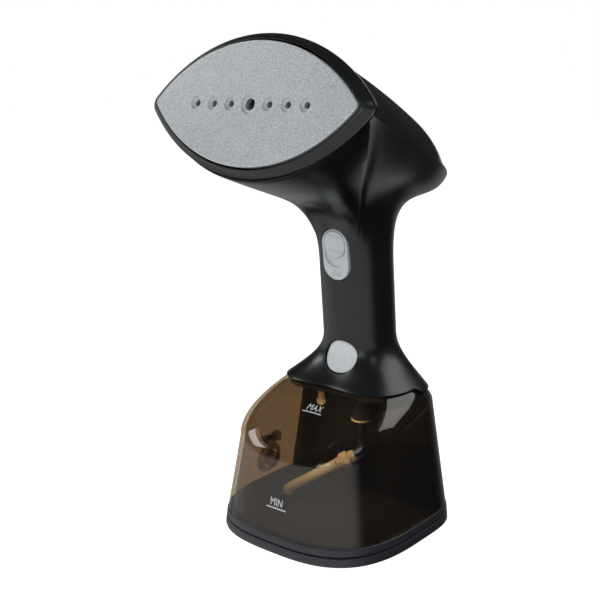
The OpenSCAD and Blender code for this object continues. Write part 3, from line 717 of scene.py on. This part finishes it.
def finish_for(slot):
    """The finish of a material slot, made once."""
    name = f"finish_{slot}"
    if name in bpy.data.materials:
        return bpy.data.materials[name]
    c = bpy.context.scene.steamer_colours
    makers = {
        "plate_metal": lambda: sanded_metal(name, tuple(c.plate), 0.42, metal=0.55),
        "cast_metal": lambda: sanded_metal(name, (0.55, 0.55, 0.55), 0.45, metal=1.0, grain=700.0),
        "gloss_black": lambda: moulded(name, tuple(c.gloss), 0.10, strength=0.04, wear=0.3, coat=0.5),
        "satin_black": lambda: moulded(name, tuple(c.satin), 0.30, strength=0.12),
        "grey_plastic": lambda: moulded(name, tuple(c.controls), 0.42, strength=0.3, mottle=0.04, wear=0.3),
        "pale_plastic": lambda: moulded(
            name, tuple(c.button), 0.26, strength=0.1, mottle=0.03, wear=0.2, coat=0.3
        ),
        "smoke_plastic": lambda: smoke(name, tuple(c.smoke)),
        "slate_plastic": lambda: moulded(name, tuple(c.slate), 0.40, strength=0.3),
        "amber_silicone": lambda: silicone(name, tuple(c.amber)),
        "amber_plastic": lambda: silicone(name, shade(tuple(c.amber), 0.92)),
        "black_rubber": lambda: moulded(name, (0.012, 0.012, 0.012), 0.6, grain=900.0, strength=0.4),
        "red_silicone": lambda: silicone(name, (0.42, 0.10, 0.06)),
        "white_hose": lambda: silicone(name, (0.70, 0.70, 0.66)),
        "steel": lambda: plated(name, (0.55, 0.55, 0.56)),
        "brass": lambda: plated(name, (0.62, 0.44, 0.16)),
        "ceramic_white": lambda: moulded(name, (0.62, 0.58, 0.48), 0.55, grain=700.0, strength=0.5),
        "board_green": lambda: moulded(name, (0.02, 0.12, 0.05), 0.3, grain=1100.0, strength=0.4),
        "board_parts": lambda: moulded(name, (0.06, 0.09, 0.20), 0.35),
        "dark_plastic": lambda: moulded(name, (0.016, 0.015, 0.014), 0.38),
        "copper_winding": lambda: plated(name, (0.50, 0.20, 0.08), 0.32),
        "wire_insulation": lambda: moulded(name, (0.35, 0.05, 0.04), 0.45, strength=0.1),
        "print_white": lambda: printed(name, (0.86, 0.87, 0.88)),
    }
    return makers[slot]()


# ---- Pieces ----
class PieceOperator:
    """What the steamer's operators share."""

    bl_options = {"REGISTER", "UNDO"}

    def execute(self, context):
        self.build(shape_of(context.scene), context)
        return {"FINISHED"}


class STEAMER_OT_head_cover(PieceOperator, bpy.types.Operator):
    """Polished cover over the top of the steam head"""

    bl_idname, bl_label = "steamer.head_cover", "Head Cover"

    def build(self, shape, context):
        deepest = shape.length - 0.14

        def place(u, w):
            return shape.cover(mix(shape.EDGE_S, deepest, 1 - (1 - w) ** 1.8), 2 * u - 1)

        bm = face_out(grid(72, 84, place), shape.head(60, 0, -20))
        tip = Vector(shape.head(deepest, 0, 0))
        rear = [e for e in open_edges(bm) if all((v.co - tip).length < 12 for v in e.verts)]
        bmesh.ops.holes_fill(bm, edges=rear)
        add_piece(
            "cover", bm, "housing", finish_for("gloss_black"), ["head_cover"],
            wall=1.2, edge=0.25,
        )


class STEAMER_OT_casings(PieceOperator, bpy.types.Operator):
    """Front and rear casings, from the tank up the grip to the head"""

    bl_idname, bl_label = "steamer.casings", "Handle Casings"

    def build(self, shape, context):
        whole = 2 * (shape.EDGE_STEPS + shape.SIDE_STEPS)
        wall = context.scene.steamer_handle.wall / MM

        def run(first, last):
            def place(u, w):
                return shape.casing(mix(first, last, u), w * 2)

            return face_out(grid((last - first) * 3, 92, place), (0, 20, 140))

        pod_hole = slab(oblong(17.9, 29.9), -12, 12, matrix=shape.on_pod())
        button_hole = slab(button_outline(0.45), -24, 12, matrix=BUTTON_FRAME)
        satin = finish_for("satin_black")
        add_piece(
            "casing_front", run(-shape.SPLIT, shape.SPLIT), "housing", satin, ["front_shell"],
            wall=wall, cutters=[pod_hole, button_hole], edge=0.3,
        )
        rear = run(shape.SPLIT, whole - shape.SPLIT)
        holes = [
            spun([(0, -6), (1.6, -6), (1.6, 0.2), (2.7, 0.3), (2.7, 6), (0, 6)], 28,
                 Matrix.Translation((x, shape.grip_y(z) + 14.65, z)) @ turned(-90, "X"))
            for x in (-5, 5) for z in (116, 130)
        ]
        add_piece(
            "casing_rear", rear, "housing", satin, ["rear_shell"],
            wall=wall, cutters=holes, edge=0.2,
        )


class STEAMER_OT_spine(PieceOperator, bpy.types.Operator):
    """Back housing behind the tank, which carries the cord's inlet"""

    bl_idname, bl_label = "steamer.spine", "Back Housing"

    def build(self, shape, context):
        low, high = shape.TANK_Z + 0.5, shape.seam_z
        y = shape.tank_back + 0.7

        def place(u, w):
            z = mix(low, high, w)
            c = shape.corner(y, z)
            if u <= 0.75:
                return shape.body(mix(c, 180 - c, u / 0.75), z)
            right, left = shape.body(c, z), shape.body(180 - c, z)
            k = (u - 0.75) / 0.25
            return (mix(left[0], right[0], k), y, z)

        bm = grid(128, 56, place)
        bmesh.ops.holes_fill(bm, edges=open_edges(bm))
        face_out(bm)
        inlet = slab(circle(7.2, 40), 0, 30, matrix=Matrix.Translation((0, 60, 24)) @ turned(90, "X"))
        add_piece(
            "spine", bm, "housing", finish_for("satin_black"), ["spine_shell"],
            cutters=[inlet], edge=0.5,
        )


class STEAMER_OT_bezel(PieceOperator, bpy.types.Operator):
    """Stepped rim round the steam plate"""

    bl_idname, bl_label = "steamer.bezel", "Bezel"

    def build(self, shape, context):
        outer = lens(shape.bezel_w + 1.3, shape.bezel_h, 5.5)
        inner = lens(shape.plate_w + 1.5, shape.plate_h + 0.9, 3.4)
        section = [
            (0.06, -6.0), (0.0, -5.75), (0.0, -5.1), (0.03, -4.75), (0.10, -4.55), (0.16, -4.5), (0.2, -4.25),
            (0.3, -3.7), (0.5, -2.75), (0.75, -1.75), (0.87, -1.4), (0.95, -1.4), (1.0, -1.75), (1.0, -5.6),
        ]
        rows = len(section)

        def place(u, w):
            m, z = section[round(w * rows) % rows]
            i = round(u * len(outer)) % len(outer)
            return (mix(outer[i][0], inner[i][0], m), mix(outer[i][1], inner[i][1], m), z)

        bm = face_out(grid(len(outer), rows, place))
        bmesh.ops.transform(bm, matrix=shape.on_head(), verts=bm.verts)
        add_piece("bezel", bm, "housing", finish_for("satin_black"), ["plate_bezel"], sharp=40)


class STEAMER_OT_plate(PieceOperator, bpy.types.Operator):
    """Steam plate with its row of countersunk vents"""

    bl_idname, bl_label = "steamer.plate", "Steam Plate"

    def build(self, shape, context):
        holes = []
        for x in (-34.8, -23.5, -12.2, 0, 12.2, 23.5, 34.8):
            rim, bore = (4.7, 2.85) if x == 0 else (3.3, 1.6)
            profile = [
                (0, 1), (rim + 0.35, 1), (rim + 0.3, 0.0), (rim + 0.05, -0.12), (rim - 0.3, -0.9),
                (rim - 0.5, -1.15), (bore + 0.25, -1.2), (bore, -1.45), (bore, -7), (0, -7),
            ]
            holes.append(spun(profile, 40, shape.on_head() @ Matrix.Translation((x, 0, 0))))
        bm = slab(lens(shape.plate_w + 0.6, shape.plate_h, 2.6), -4, 0, rounded=0.45, matrix=shape.on_head())
        add_piece(
            "plate", bm, "housing", finish_for("plate_metal"), ["steam_plate"],
            cutters=holes, sharp=12,
        )


class STEAMER_OT_trigger(PieceOperator, bpy.types.Operator):
    """Push trigger with its recess and raised steam mark"""

    bl_idname, bl_label = "steamer.trigger", "Steam Trigger"

    def build(self, shape, context):
        pod = shape.on_pod()
        grey = finish_for("grey_plastic")
        body = slab(oblong(17, 29), -4.4, 3.6, rounded=0.45, steps=3, matrix=pod)
        recess = slab(oblong(14.4, 21.2, 3.3), 2, 8, matrix=pod)
        slot = slab(oblong(4.8, 11.6, 4.6, 40), -0.6, 6, matrix=pod)
        add_piece(
            "trigger", body, "trigger", grey, ["steam_trigger"],
            cutters=[recess, slot], edge=0.35,
        )
        # Steam mark: a plume of fine raised lines
        lines = []
        for side, reach in ((-1, 1.0), (1, 1.0), (-1, 2.0), (1, 2.0)):
            path = [
                (
                    side * (0.5 + 1.35 * reach * math.sin(math.pi * k / 10) * (0.6 + 0.1 * reach)),
                    -12.6 + 5.2 * k / 10 * (1.05 - 0.12 * reach),
                    3.62,
                )
                for k in range(11)
            ]
            lines.append(swept(path, lambda w: 0.09 + 0.24 * math.sin(math.pi * min(0.98, max(0.02, w))), 8))
        lines.append(swept([(0, -12.8 + 0.46 * k, 3.62) for k in range(9)], 0.27, 8))
        mark = joined(*lines)
        bmesh.ops.transform(mark, matrix=pod, verts=mark.verts)
        add_piece("steam_mark", mark, "trigger", grey)
        slider = slab(oblong(13.6, 15.1, 5.95), 2.15, 3.95, rounded=0.5, matrix=pod)
        tongue = slab(oblong(4.2, 4.4, 7.8, 32), -0.4, 2.3, matrix=pod)
        ridges = [
            slab(around([(-3.7, y, 0.55), (3.7, y, 0.55)], 32), 3.7, 4.4, rounded=0.3, matrix=pod)
            for y in (2.2, 10.3)
        ]
        add_piece("lock", joined(slider, tongue, *ridges), "lock", grey, ["lock_slider"])


class STEAMER_OT_release(PieceOperator, bpy.types.Operator):
    """Release button, whose domed face follows the casing"""

    bl_idname, bl_label = "steamer.release", "Release Button"

    def build(self, shape, context):
        outline = button_outline()
        count = len(outline)

        def place(u, w):
            x0, z0 = outline[round(u * count) % count]
            reach = min(1.0, w / 0.7)
            x, z = x0 * reach, BUTTON_Z + z0 * reach
            crown = 0.75 * math.sqrt(max(0.0, 1 - reach**6)) - 0.05
            y = shape.front_y(x, z) - crown
            return (x, y if w <= 0.7 else mix(y, 9.2, (w - 0.7) / 0.3), z)

        bm = grid(count, 30, place)
        bmesh.ops.holes_fill(bm, edges=open_edges(bm))
        arm = slab([(-7, 9), (1, 9), (1, 10.8), (-7, 10.8)], 80, 95)
        tooth = slab([(-7, 6.1), (1, 6.1), (1, 9.3), (-7, 9.3)], 80, 82.4)
        whole = joined(face_out(bm), arm, tooth)
        add_piece(
            "button", whole, "release", finish_for("pale_plastic"), ["release_button"],
            sharp=50,
        )


class STEAMER_OT_tank(PieceOperator, bpy.types.Operator):
    """Clear smoked water tank with its sloping crease"""

    bl_idname, bl_label = "steamer.tank", "Water Tank"
    SKIRT_ROWS, DOME_ROWS, AROUND, BACK = 22, 40, 176, 24
    ROOF_Z, INNER_ROOF_Z = 70, 66  # heights that part the roofs' edges from the rest

    def wall(self, shape, ins, high):
        """One skin of the tank as a closed loop, moved in by ins; high gives its top at an angle."""
        rows, cols = self.SKIRT_ROWS + self.DOME_ROWS, self.AROUND + self.BACK
        y = shape.tank_back - ins

        def height(th, w):
            k, zc = w * rows, shape.crease(th)
            if k <= self.SKIRT_ROWS:
                return mix(shape.TANK_Z, zc, k / self.SKIRT_ROWS)
            return mix(zc, high(th), (k - self.SKIRT_ROWS) / self.DOME_ROWS)

        corners = []
        for k in range(rows + 1):
            c = 22.0
            for _ in range(3):
                c = shape.corner(y, height(c, k / rows), ins)
            corners.append(c)

        def place(u, w):
            i, c = round(u * cols), corners[round(w * rows)]
            if i <= self.AROUND:
                th = mix(-180 - c, c, i / self.AROUND)
                return shape.body(th, height(th, w), ins)
            right, left = (shape.body(t, height(t, w), ins) for t in (c, 180 - c))
            k = (i - self.AROUND) / self.BACK
            return tuple(mix(a, b, k) for a, b in zip(right, left))

        return grid(cols, rows, place)

    def build(self, shape, context):
        wall = context.scene.steamer_tank.wall / MM
        outer = self.wall(shape, 0.0, shape.seam)

        def on_crease(v):
            th = math.degrees(math.atan2(v.co.y - shape.BODY_Y, v.co.x))
            return abs(v.co.z - shape.crease(th)) < 0.25 and v.co.y < shape.tank_back - 0.4

        crease = [e for e in outer.edges if all(map(on_crease, e.verts))]
        bmesh.ops.bevel(outer, geom=crease, offset=0.35, segments=3, profile=0.5, affect="EDGES", material=-1)
        # A low rim stands round the roof
        middle = Matrix.Translation((0, -9, 0))
        top = open_edges(outer, above=self.ROOF_Z)
        for scale, drop in (((0.956, 0.91, 1), 0.0), ((1, 1, 1), shape.SEAM_RISE)):
            made = bmesh.ops.extrude_edge_only(outer, edges=top)["geom"]
            verts = [g for g in made if isinstance(g, bmesh.types.BMVert)]
            bmesh.ops.scale(outer, vec=scale, space=middle, verts=verts)
            for v in verts:
                v.co.z = max(shape.seam_z, v.co.z - drop)
            top = [g for g in made if isinstance(g, bmesh.types.BMEdge)]
        bmesh.ops.remove_doubles(outer, verts=outer.verts, dist=0.01)
        bmesh.ops.holes_fill(outer, edges=open_edges(outer, above=self.ROOF_Z))
        face_out(outer, (0, 0, 40))
        inner = self.wall(shape, wall, lambda th: shape.seam_z - wall)
        bmesh.ops.holes_fill(inner, edges=open_edges(inner, above=self.INNER_ROOF_Z))
        face_out(inner, (0, 0, 40))
        bmesh.ops.reverse_faces(inner, faces=inner.faces)
        bm = joined(outer, inner)
        bmesh.ops.bridge_loops(bm, edges=open_edges(bm, below=shape.TANK_Z + 0.5))
        bmesh.ops.remove_doubles(bm, verts=bm.verts, dist=0.002)
        filler = slab(circle(7, 48), -8, 8, matrix=cap_frame(shape))
        valve = slab(circle(6.2, 40, VALVE_X, VALVE_Y), 66, 90)
        add_piece(
            "tank", bm, "tank", finish_for("smoke_plastic"), ["tank_shell"],
            cutters=[filler, valve], sharp=28,
        )


CAP_Z = 21.5


def cap_frame(shape):
    """Frame of the filler cap on the tank's left side: y up the wall, +z out of it."""
    middle = Matrix.Translation((shape.skirt(180, CAP_Z)[0], 4, CAP_Z))
    return middle @ turned(9.4, "Y") @ turned(90, "X") @ turned(-90, "Y")


class STEAMER_OT_marks(PieceOperator, bpy.types.Operator):
    """Printed level marks on the front of the tank"""

    bl_idname, bl_label = "steamer.marks", "Level Marks"

    def build(self, shape, context):
        white = finish_for("print_white")
        for word, x0, z0, size, stretch in (("MAX", 0.8, 70.6, 6.0, 0.52), ("MIN", 1.9, 26.2, 6.0, 1.0)):
            curve = bpy.data.curves.new(word, "FONT")
            curve.body, curve.size, curve.extrude, curve.align_x = word, size, 0.04, "CENTER"
            holder = bpy.data.objects.new(word, curve)
            context.scene.collection.objects.link(holder)
            letters = bpy.data.meshes.new_from_object(holder.evaluated_get(context.evaluated_depsgraph_get()))
            bpy.data.objects.remove(holder)
            bm = bmesh.new()
            bm.from_mesh(letters)
            bpy.data.meshes.remove(letters)
            bar = slab([(-6.5, -1.6), (6.5, -1.6), (6.5, -1.0), (-6.5, -1.0)], -0.04, 0.04)
            bmesh.ops.subdivide_edges(bar, edges=[e for e in bar.edges if e.calc_length() > 5], cuts=24)
            bm = joined(bm, bar)
            for v in bm.verts:
                x, z = x0 + v.co.x * (0.8 if v.co.y > -0.5 else 1.0), z0 + v.co.y * stretch
                v.co = (x, shape.front_y(x, z) - 0.14 - v.co.z, z)
            face_out(bm)
            add_piece(f"mark_{word.lower()}", bm, "tank", white)


class STEAMER_OT_foot(PieceOperator, bpy.types.Operator):
    """Dark band and foot ring under the tank"""

    bl_idname, bl_label = "steamer.foot", "Foot"

    def ring(self, shape, section):
        """Closed section of height and inset, carried round the foot's outline."""
        rows = len(section)

        def place(u, w):
            z, ins = section[round(w * rows) % rows]
            return shape.skirt(u * 360, z, ins)

        return face_out(grid(168, rows, place))

    def build(self, shape, context):
        slate = finish_for("slate_plastic")
        band = [
            (8.3, 4.0), (5.8, 4.0), (5.8, 0.4), (5.95, 0.0), (6.25, -0.25), (6.6, -0.3), (9.5, -0.3),
            (9.9, -0.22), (10.15, 0.05), (10.25, 0.4), (10.25, 4.0),
        ]
        foot = [
            (0.0, 4.0), (0.0, 1.3), (0.15, 0.8), (0.5, 0.3), (1.1, 0.02), (2.0, 0.0), (4.5, -0.15),
            (5.0, -0.05), (5.2, 0.35), (5.2, 1.8), (5.6, 1.9), (5.6, 4.0),
        ]
        base = slab([shape.skirt(i * 2.5, 9.6, 3.9)[:2] for i in range(144)], 8.3, 9.6, rounded=0.3)
        ribs = [slab(around([(x, -22, 0.7), (x, 30, 0.7)], 24), 6.2, 8.4) for x in (-30, -10, 10, 30)]
        whole = joined(self.ring(shape, band), base, *ribs)
        add_piece("band", whole, "tank", slate, ["tank_band"])
        add_piece("foot", self.ring(shape, foot), "tank", slate, ["foot_ring"])


class STEAMER_OT_fittings(PieceOperator, bpy.types.Operator):
    """Valve column, pipe, winged union, hose and strainer inside the tank"""

    bl_idname, bl_label = "steamer.fittings", "Tank Fittings"

    def build(self, shape, context):
        fitting, dark = finish_for("amber_plastic"), finish_for("dark_plastic")
        at_valve = Matrix.Translation((VALVE_X, VALVE_Y, 0))
        union = Vector((1.5, 8, 33))
        way = Vector((0.676, 0.568, 0.469))
        column = spun(
            [(2.2, 55.0), (4.9, 55.0), (5.2, 55.3), (5.4, 55.9), (5.4, 61.5), (5.2, 61.8), (5.2, 62.5),
             (5.4, 62.8), (5.4, 75.9), (4.6, 75.9), (4.6, 58.0), (2.2, 58.0), (2.2, 55.0)],
            56, at_valve,
        )
        add_piece("valve", column, "tank", dark, ["valve_housing"])
        collar = spun(
            [(5.45, 55.4), (5.9, 55.5), (6.1, 55.9), (6.0, 56.5), (5.7, 56.7), (5.45, 56.7), (5.45, 55.4)],
            56, at_valve,
        )
        add_piece("valve_collar", collar, "tank", fitting)
        ends = (VALVE_X, VALVE_Y, 54.9), (VALVE_X, VALVE_Y, 44), union + 11 * way, union + 6.5 * way
        pipe = [bow(*ends, k / 24) for k in range(25)]
        add_piece("pipe", swept(pipe, 2.1), "tank", dark, ["suction_pipe"])
        on_union = Matrix.Translation(union) @ way.to_track_quat("Z", "Y").to_matrix().to_4x4()
        barrel = spun(
            [(0, -6), (3.0, -6), (3.4, -5.6), (3.4, -3.2), (4.5, -3.0), (4.8, -2.6), (4.8, 1.6),
             (4.5, 2.0), (3.6, 2.2), (3.4, 2.6), (3.4, 3.6), (3.7, 3.8), (3.7, 4.4), (3.4, 4.6),
             (3.4, 5.7), (3.1, 6), (0, 6)],
            48, on_union,
        )
        wings = [
            slab(around([(side * 4.4, -1.6, 0.9), (side * 7.2, 1.4, 0.8), (side * 4.4, 1.6, 0.9)], 40),
                 -1.0, 1.0, rounded=0.35, matrix=on_union @ turned(90, "X"), both=True)
            for side in (-1, 1)
        ]
        add_piece("union", joined(barrel, *wings), "tank", fitting, ["hose_connector"])
        start, low = union - 6.3 * way, Vector((-22.5, -15.5, 14.2))
        ends = start, start - 8 * way, low + Vector((7, 6, 7)), low + Vector((0, 0, 2))
        route = [bow(*ends, k / 30) for k in range(31)]
        hose = swept(route + [tuple(low - Vector((0, 0, 0.4)))], 3.1, 28)
        add_piece("hose", hose, "tank", finish_for("amber_silicone"), ["suction_hose"])
        foot = spun(
            [(0, 0), (4.2, 0), (4.6, 0.3), (4.6, 1.9), (4.2, 2.2), (3.6, 2.25), (3.4, 2.5), (3.4, 3.2),
             (0, 3.2)],
            40, Matrix.Translation((low.x, low.y, shape.TANK_Z + 0.2)),
        )
        add_piece("strainer_foot", foot, "tank", dark, ["strainer"])
        vent = spun(
            [(0, 61), (1.6, 61), (2.0, 61.3), (2.0, 62), (2.7, 62.1), (2.9, 62.4), (2.9, 64.6), (2.7, 65),
             (2.0, 65.2), (2.0, 73.9), (0, 73.9)],
            36, Matrix.Translation((-20, 12, 0)),
        )
        add_piece("vent", vent, "tank", fitting, ["air_vent"])


class STEAMER_OT_inner_finish(PieceOperator, bpy.types.Operator):
    """Finishes of the parts kept from the frame"""

    bl_idname, bl_label = "steamer.inner_finish", "Kept Parts"

    def build(self, shape, context):
        slots = {s["node"]: s["material_slot"] for s in frame["record"]["subparts"]}
        for name, node in NODES.items():
            node.data.materials.clear()
            clear = name.startswith("filler_")  # the filler's parts take the tank's finish
            node.data.materials.append(finish_for("smoke_plastic" if clear else slots[name]))


class STEAMER_OT_stage(bpy.types.Operator):
    """Pale floor, soft studio light and camera"""

    bl_idname, bl_label = "steamer.stage", "Stage"
    bl_options = {"REGISTER", "UNDO"}

    MIDDLE = (0, 0, 0.12)  # what the lights aim at, in metres

    def hold(self, context, name, data, place, turn):
        """Object that carries a light or the camera."""
        holder = bpy.data.objects.new(name, data)
        holder.location, holder.rotation_euler = place, turn
        context.scene.collection.objects.link(holder)
        return holder

    def soft_box(self, context, name, place, size, radiance, colour=(1, 1, 1), shiny=True, aim=MIDDLE):
        light = bpy.data.lights.new(name, "AREA")
        light.shape, light.size, light.size_y = "RECTANGLE", size[0], size[1]
        light.energy, light.color = radiance * math.pi * size[0] * size[1], colour
        turn = (Vector(aim) - Vector(place)).to_track_quat("-Z", "Y").to_euler()
        holder = self.hold(context, name, light, place, turn)
        holder.visible_camera, holder.visible_glossy = False, shiny

    def orbit(self, turn, rise, reach):
        """Place at an angle round the object and above the floor, in degrees."""
        return (reach * cosd(turn) * cosd(rise), reach * sind(turn) * cosd(rise), 0.12 + reach * sind(rise))

    def floor(self, context):
        """Pale floor, white to the camera and unseen in reflections."""
        bm = bmesh.new()
        bmesh.ops.create_grid(bm, x_segments=8, y_segments=8, size=6)
        mesh = bpy.data.meshes.new("floor")
        bm.to_mesh(mesh)
        bm.free()
        floor = bpy.data.objects.new("floor", mesh)
        context.scene.collection.objects.link(floor)
        f = Finish("floor_white")
        tone = f.noise(3.0, 2.0)
        card = f.solid(Base_Color=f.tint((0.50, 0.50, 0.50), (0.53, 0.53, 0.53), tone), Roughness=0.9)
        glow = f.node("ShaderNodeEmission", None, {"Color": (1, 1, 1), "Strength": 1.0})
        lit = f.node("ShaderNodeAddShader", None, {0: card, 1: glow})
        seen = f.node("ShaderNodeLightPath", output="Is Camera Ray")
        mesh.materials.append(f.done(f.node("ShaderNodeMixShader", None, {0: seen, 1: card, 2: lit})))
        floor.visible_glossy = floor.visible_diffuse = False

    def studio(self, context):
        """Soft light from low in front and from the ground behind; the camera sees plain white."""
        f = Finish("studio", world=True)
        way = f.node("ShaderNodeTexCoord", output="Generated")
        height = f.node("ShaderNodeSeparateXYZ", None, {0: way}, output="Z")

        def along(direction):
            values = {0: way, 1: direction}
            return f.node("ShaderNodeVectorMath", {"operation": "DOT_PRODUCT"}, values, output="Value")

        def fade(value, first, last):
            values = {0: value, 1: first, 2: last}
            return f.node("ShaderNodeMapRange", {"interpolation_type": "SMOOTHSTEP"}, values)

        front = fade(along((-0.17, -0.98, 0)), -0.12, 0.3) * fade(height, 0.3, 0.1)
        backdrop = fade(along((-0.6, 0.8, 0)), 0.55, 0.88) * fade(height, 0.05, -0.05)
        shown = f.node("ShaderNodeLightPath", output="Is Camera Ray")
        level = shown + (1 - shown) * (front * 0.72 + backdrop * 0.38 + 0.03)
        grey = f.node("ShaderNodeCombineColor", None, {0: level, 1: level, 2: level})
        context.scene.world = f.done(f.node("ShaderNodeBackground", None, {"Color": grey}))

    def camera(self, context):
        camera = bpy.data.cameras.new("camera")
        camera.lens, camera.sensor_width, camera.clip_start = 58.55, 36, 0.01
        turn = (math.radians(77.244), 0, math.radians(39.195))
        context.scene.camera = self.hold(context, "camera", camera, (0.31705, -0.42101, 0.24822), turn)

    def execute(self, context):
        self.floor(context)
        self.studio(context)
        for name, place, size, radiance, more in (
            ("right", self.orbit(50, 46, 1.2), (0.75, 0.8), 2.6, {"colour": (1.0, 1.0, 0.97)}),
            ("left", self.orbit(-160, 33, 1.2), (0.45, 0.28), 6.0, {}),
            ("back", self.orbit(110, 40, 1.3), (0.7, 0.5), 2.0, {}),
            ("plate", self.orbit(-84, 18, 0.62), (0.24, 0.16), 3.0, {}),
            ("tank", (0.0, -0.012, 0.062), (0.03, 0.03), 7.0, {"shiny": False, "aim": (-0.006, 0.004, 0.02)}),
            ("strip", self.orbit(-34, 49, 1.2), (0.3, 0.4), 1.8, {}),
            ("fill", self.orbit(-75, 35, 1.4), (0.8, 0.8), 2.4, {"shiny": False}),
        ):
            self.soft_box(context, name, place, size, radiance, **more)
        self.camera(context)
        context.scene.view_settings.view_transform = "Standard"
        return {"FINISHED"}


# ---- Panel and registration ----
PIECES = (
    STEAMER_OT_head_cover,
    STEAMER_OT_casings,
    STEAMER_OT_spine,
    STEAMER_OT_bezel,
    STEAMER_OT_plate,
    STEAMER_OT_trigger,
    STEAMER_OT_release,
    STEAMER_OT_tank,
    STEAMER_OT_marks,
    STEAMER_OT_foot,
    STEAMER_OT_fittings,
    STEAMER_OT_inner_finish,
    STEAMER_OT_stage,
)
GROUPS = {
    "steamer_head": SteamerHeadSizes,
    "steamer_handle": SteamerHandleSizes,
    "steamer_tank": SteamerTankSizes,
    "steamer_colours": SteamerColours,
}


class STEAMER_PT_panel(bpy.types.Panel):
    """Lists the steamer's pieces, sizes and colours"""

    bl_idname, bl_label = "STEAMER_PT_panel", "Garment Steamer"
    bl_space_type, bl_region_type, bl_category = "VIEW_3D", "UI", "Steamer"

    def draw(self, context):
        column = self.layout.column()
        for operator in PIECES:
            column.operator(operator.bl_idname)
        for name, group in GROUPS.items():
            box = self.layout.box()
            for key in group.__annotations__:
                box.prop(getattr(context.scene, name), key)


def register():
    for cls in (*GROUPS.values(), *PIECES, STEAMER_PT_panel):
        bpy.utils.register_class(cls)
    for name, group in GROUPS.items():
        setattr(bpy.types.Scene, name, PointerProperty(type=group))


def unregister():
    for name in GROUPS:
        delattr(bpy.types.Scene, name)
    for cls in reversed((*GROUPS.values(), *PIECES, STEAMER_PT_panel)):
        bpy.utils.unregister_class(cls)


def main():
    register()
    for operator in PIECES:
        area, call = operator.bl_idname.split(".")
        getattr(getattr(bpy.ops, area), call)()
    bpy.context.view_layer.update()


if __name__ == "__main__":
    main()
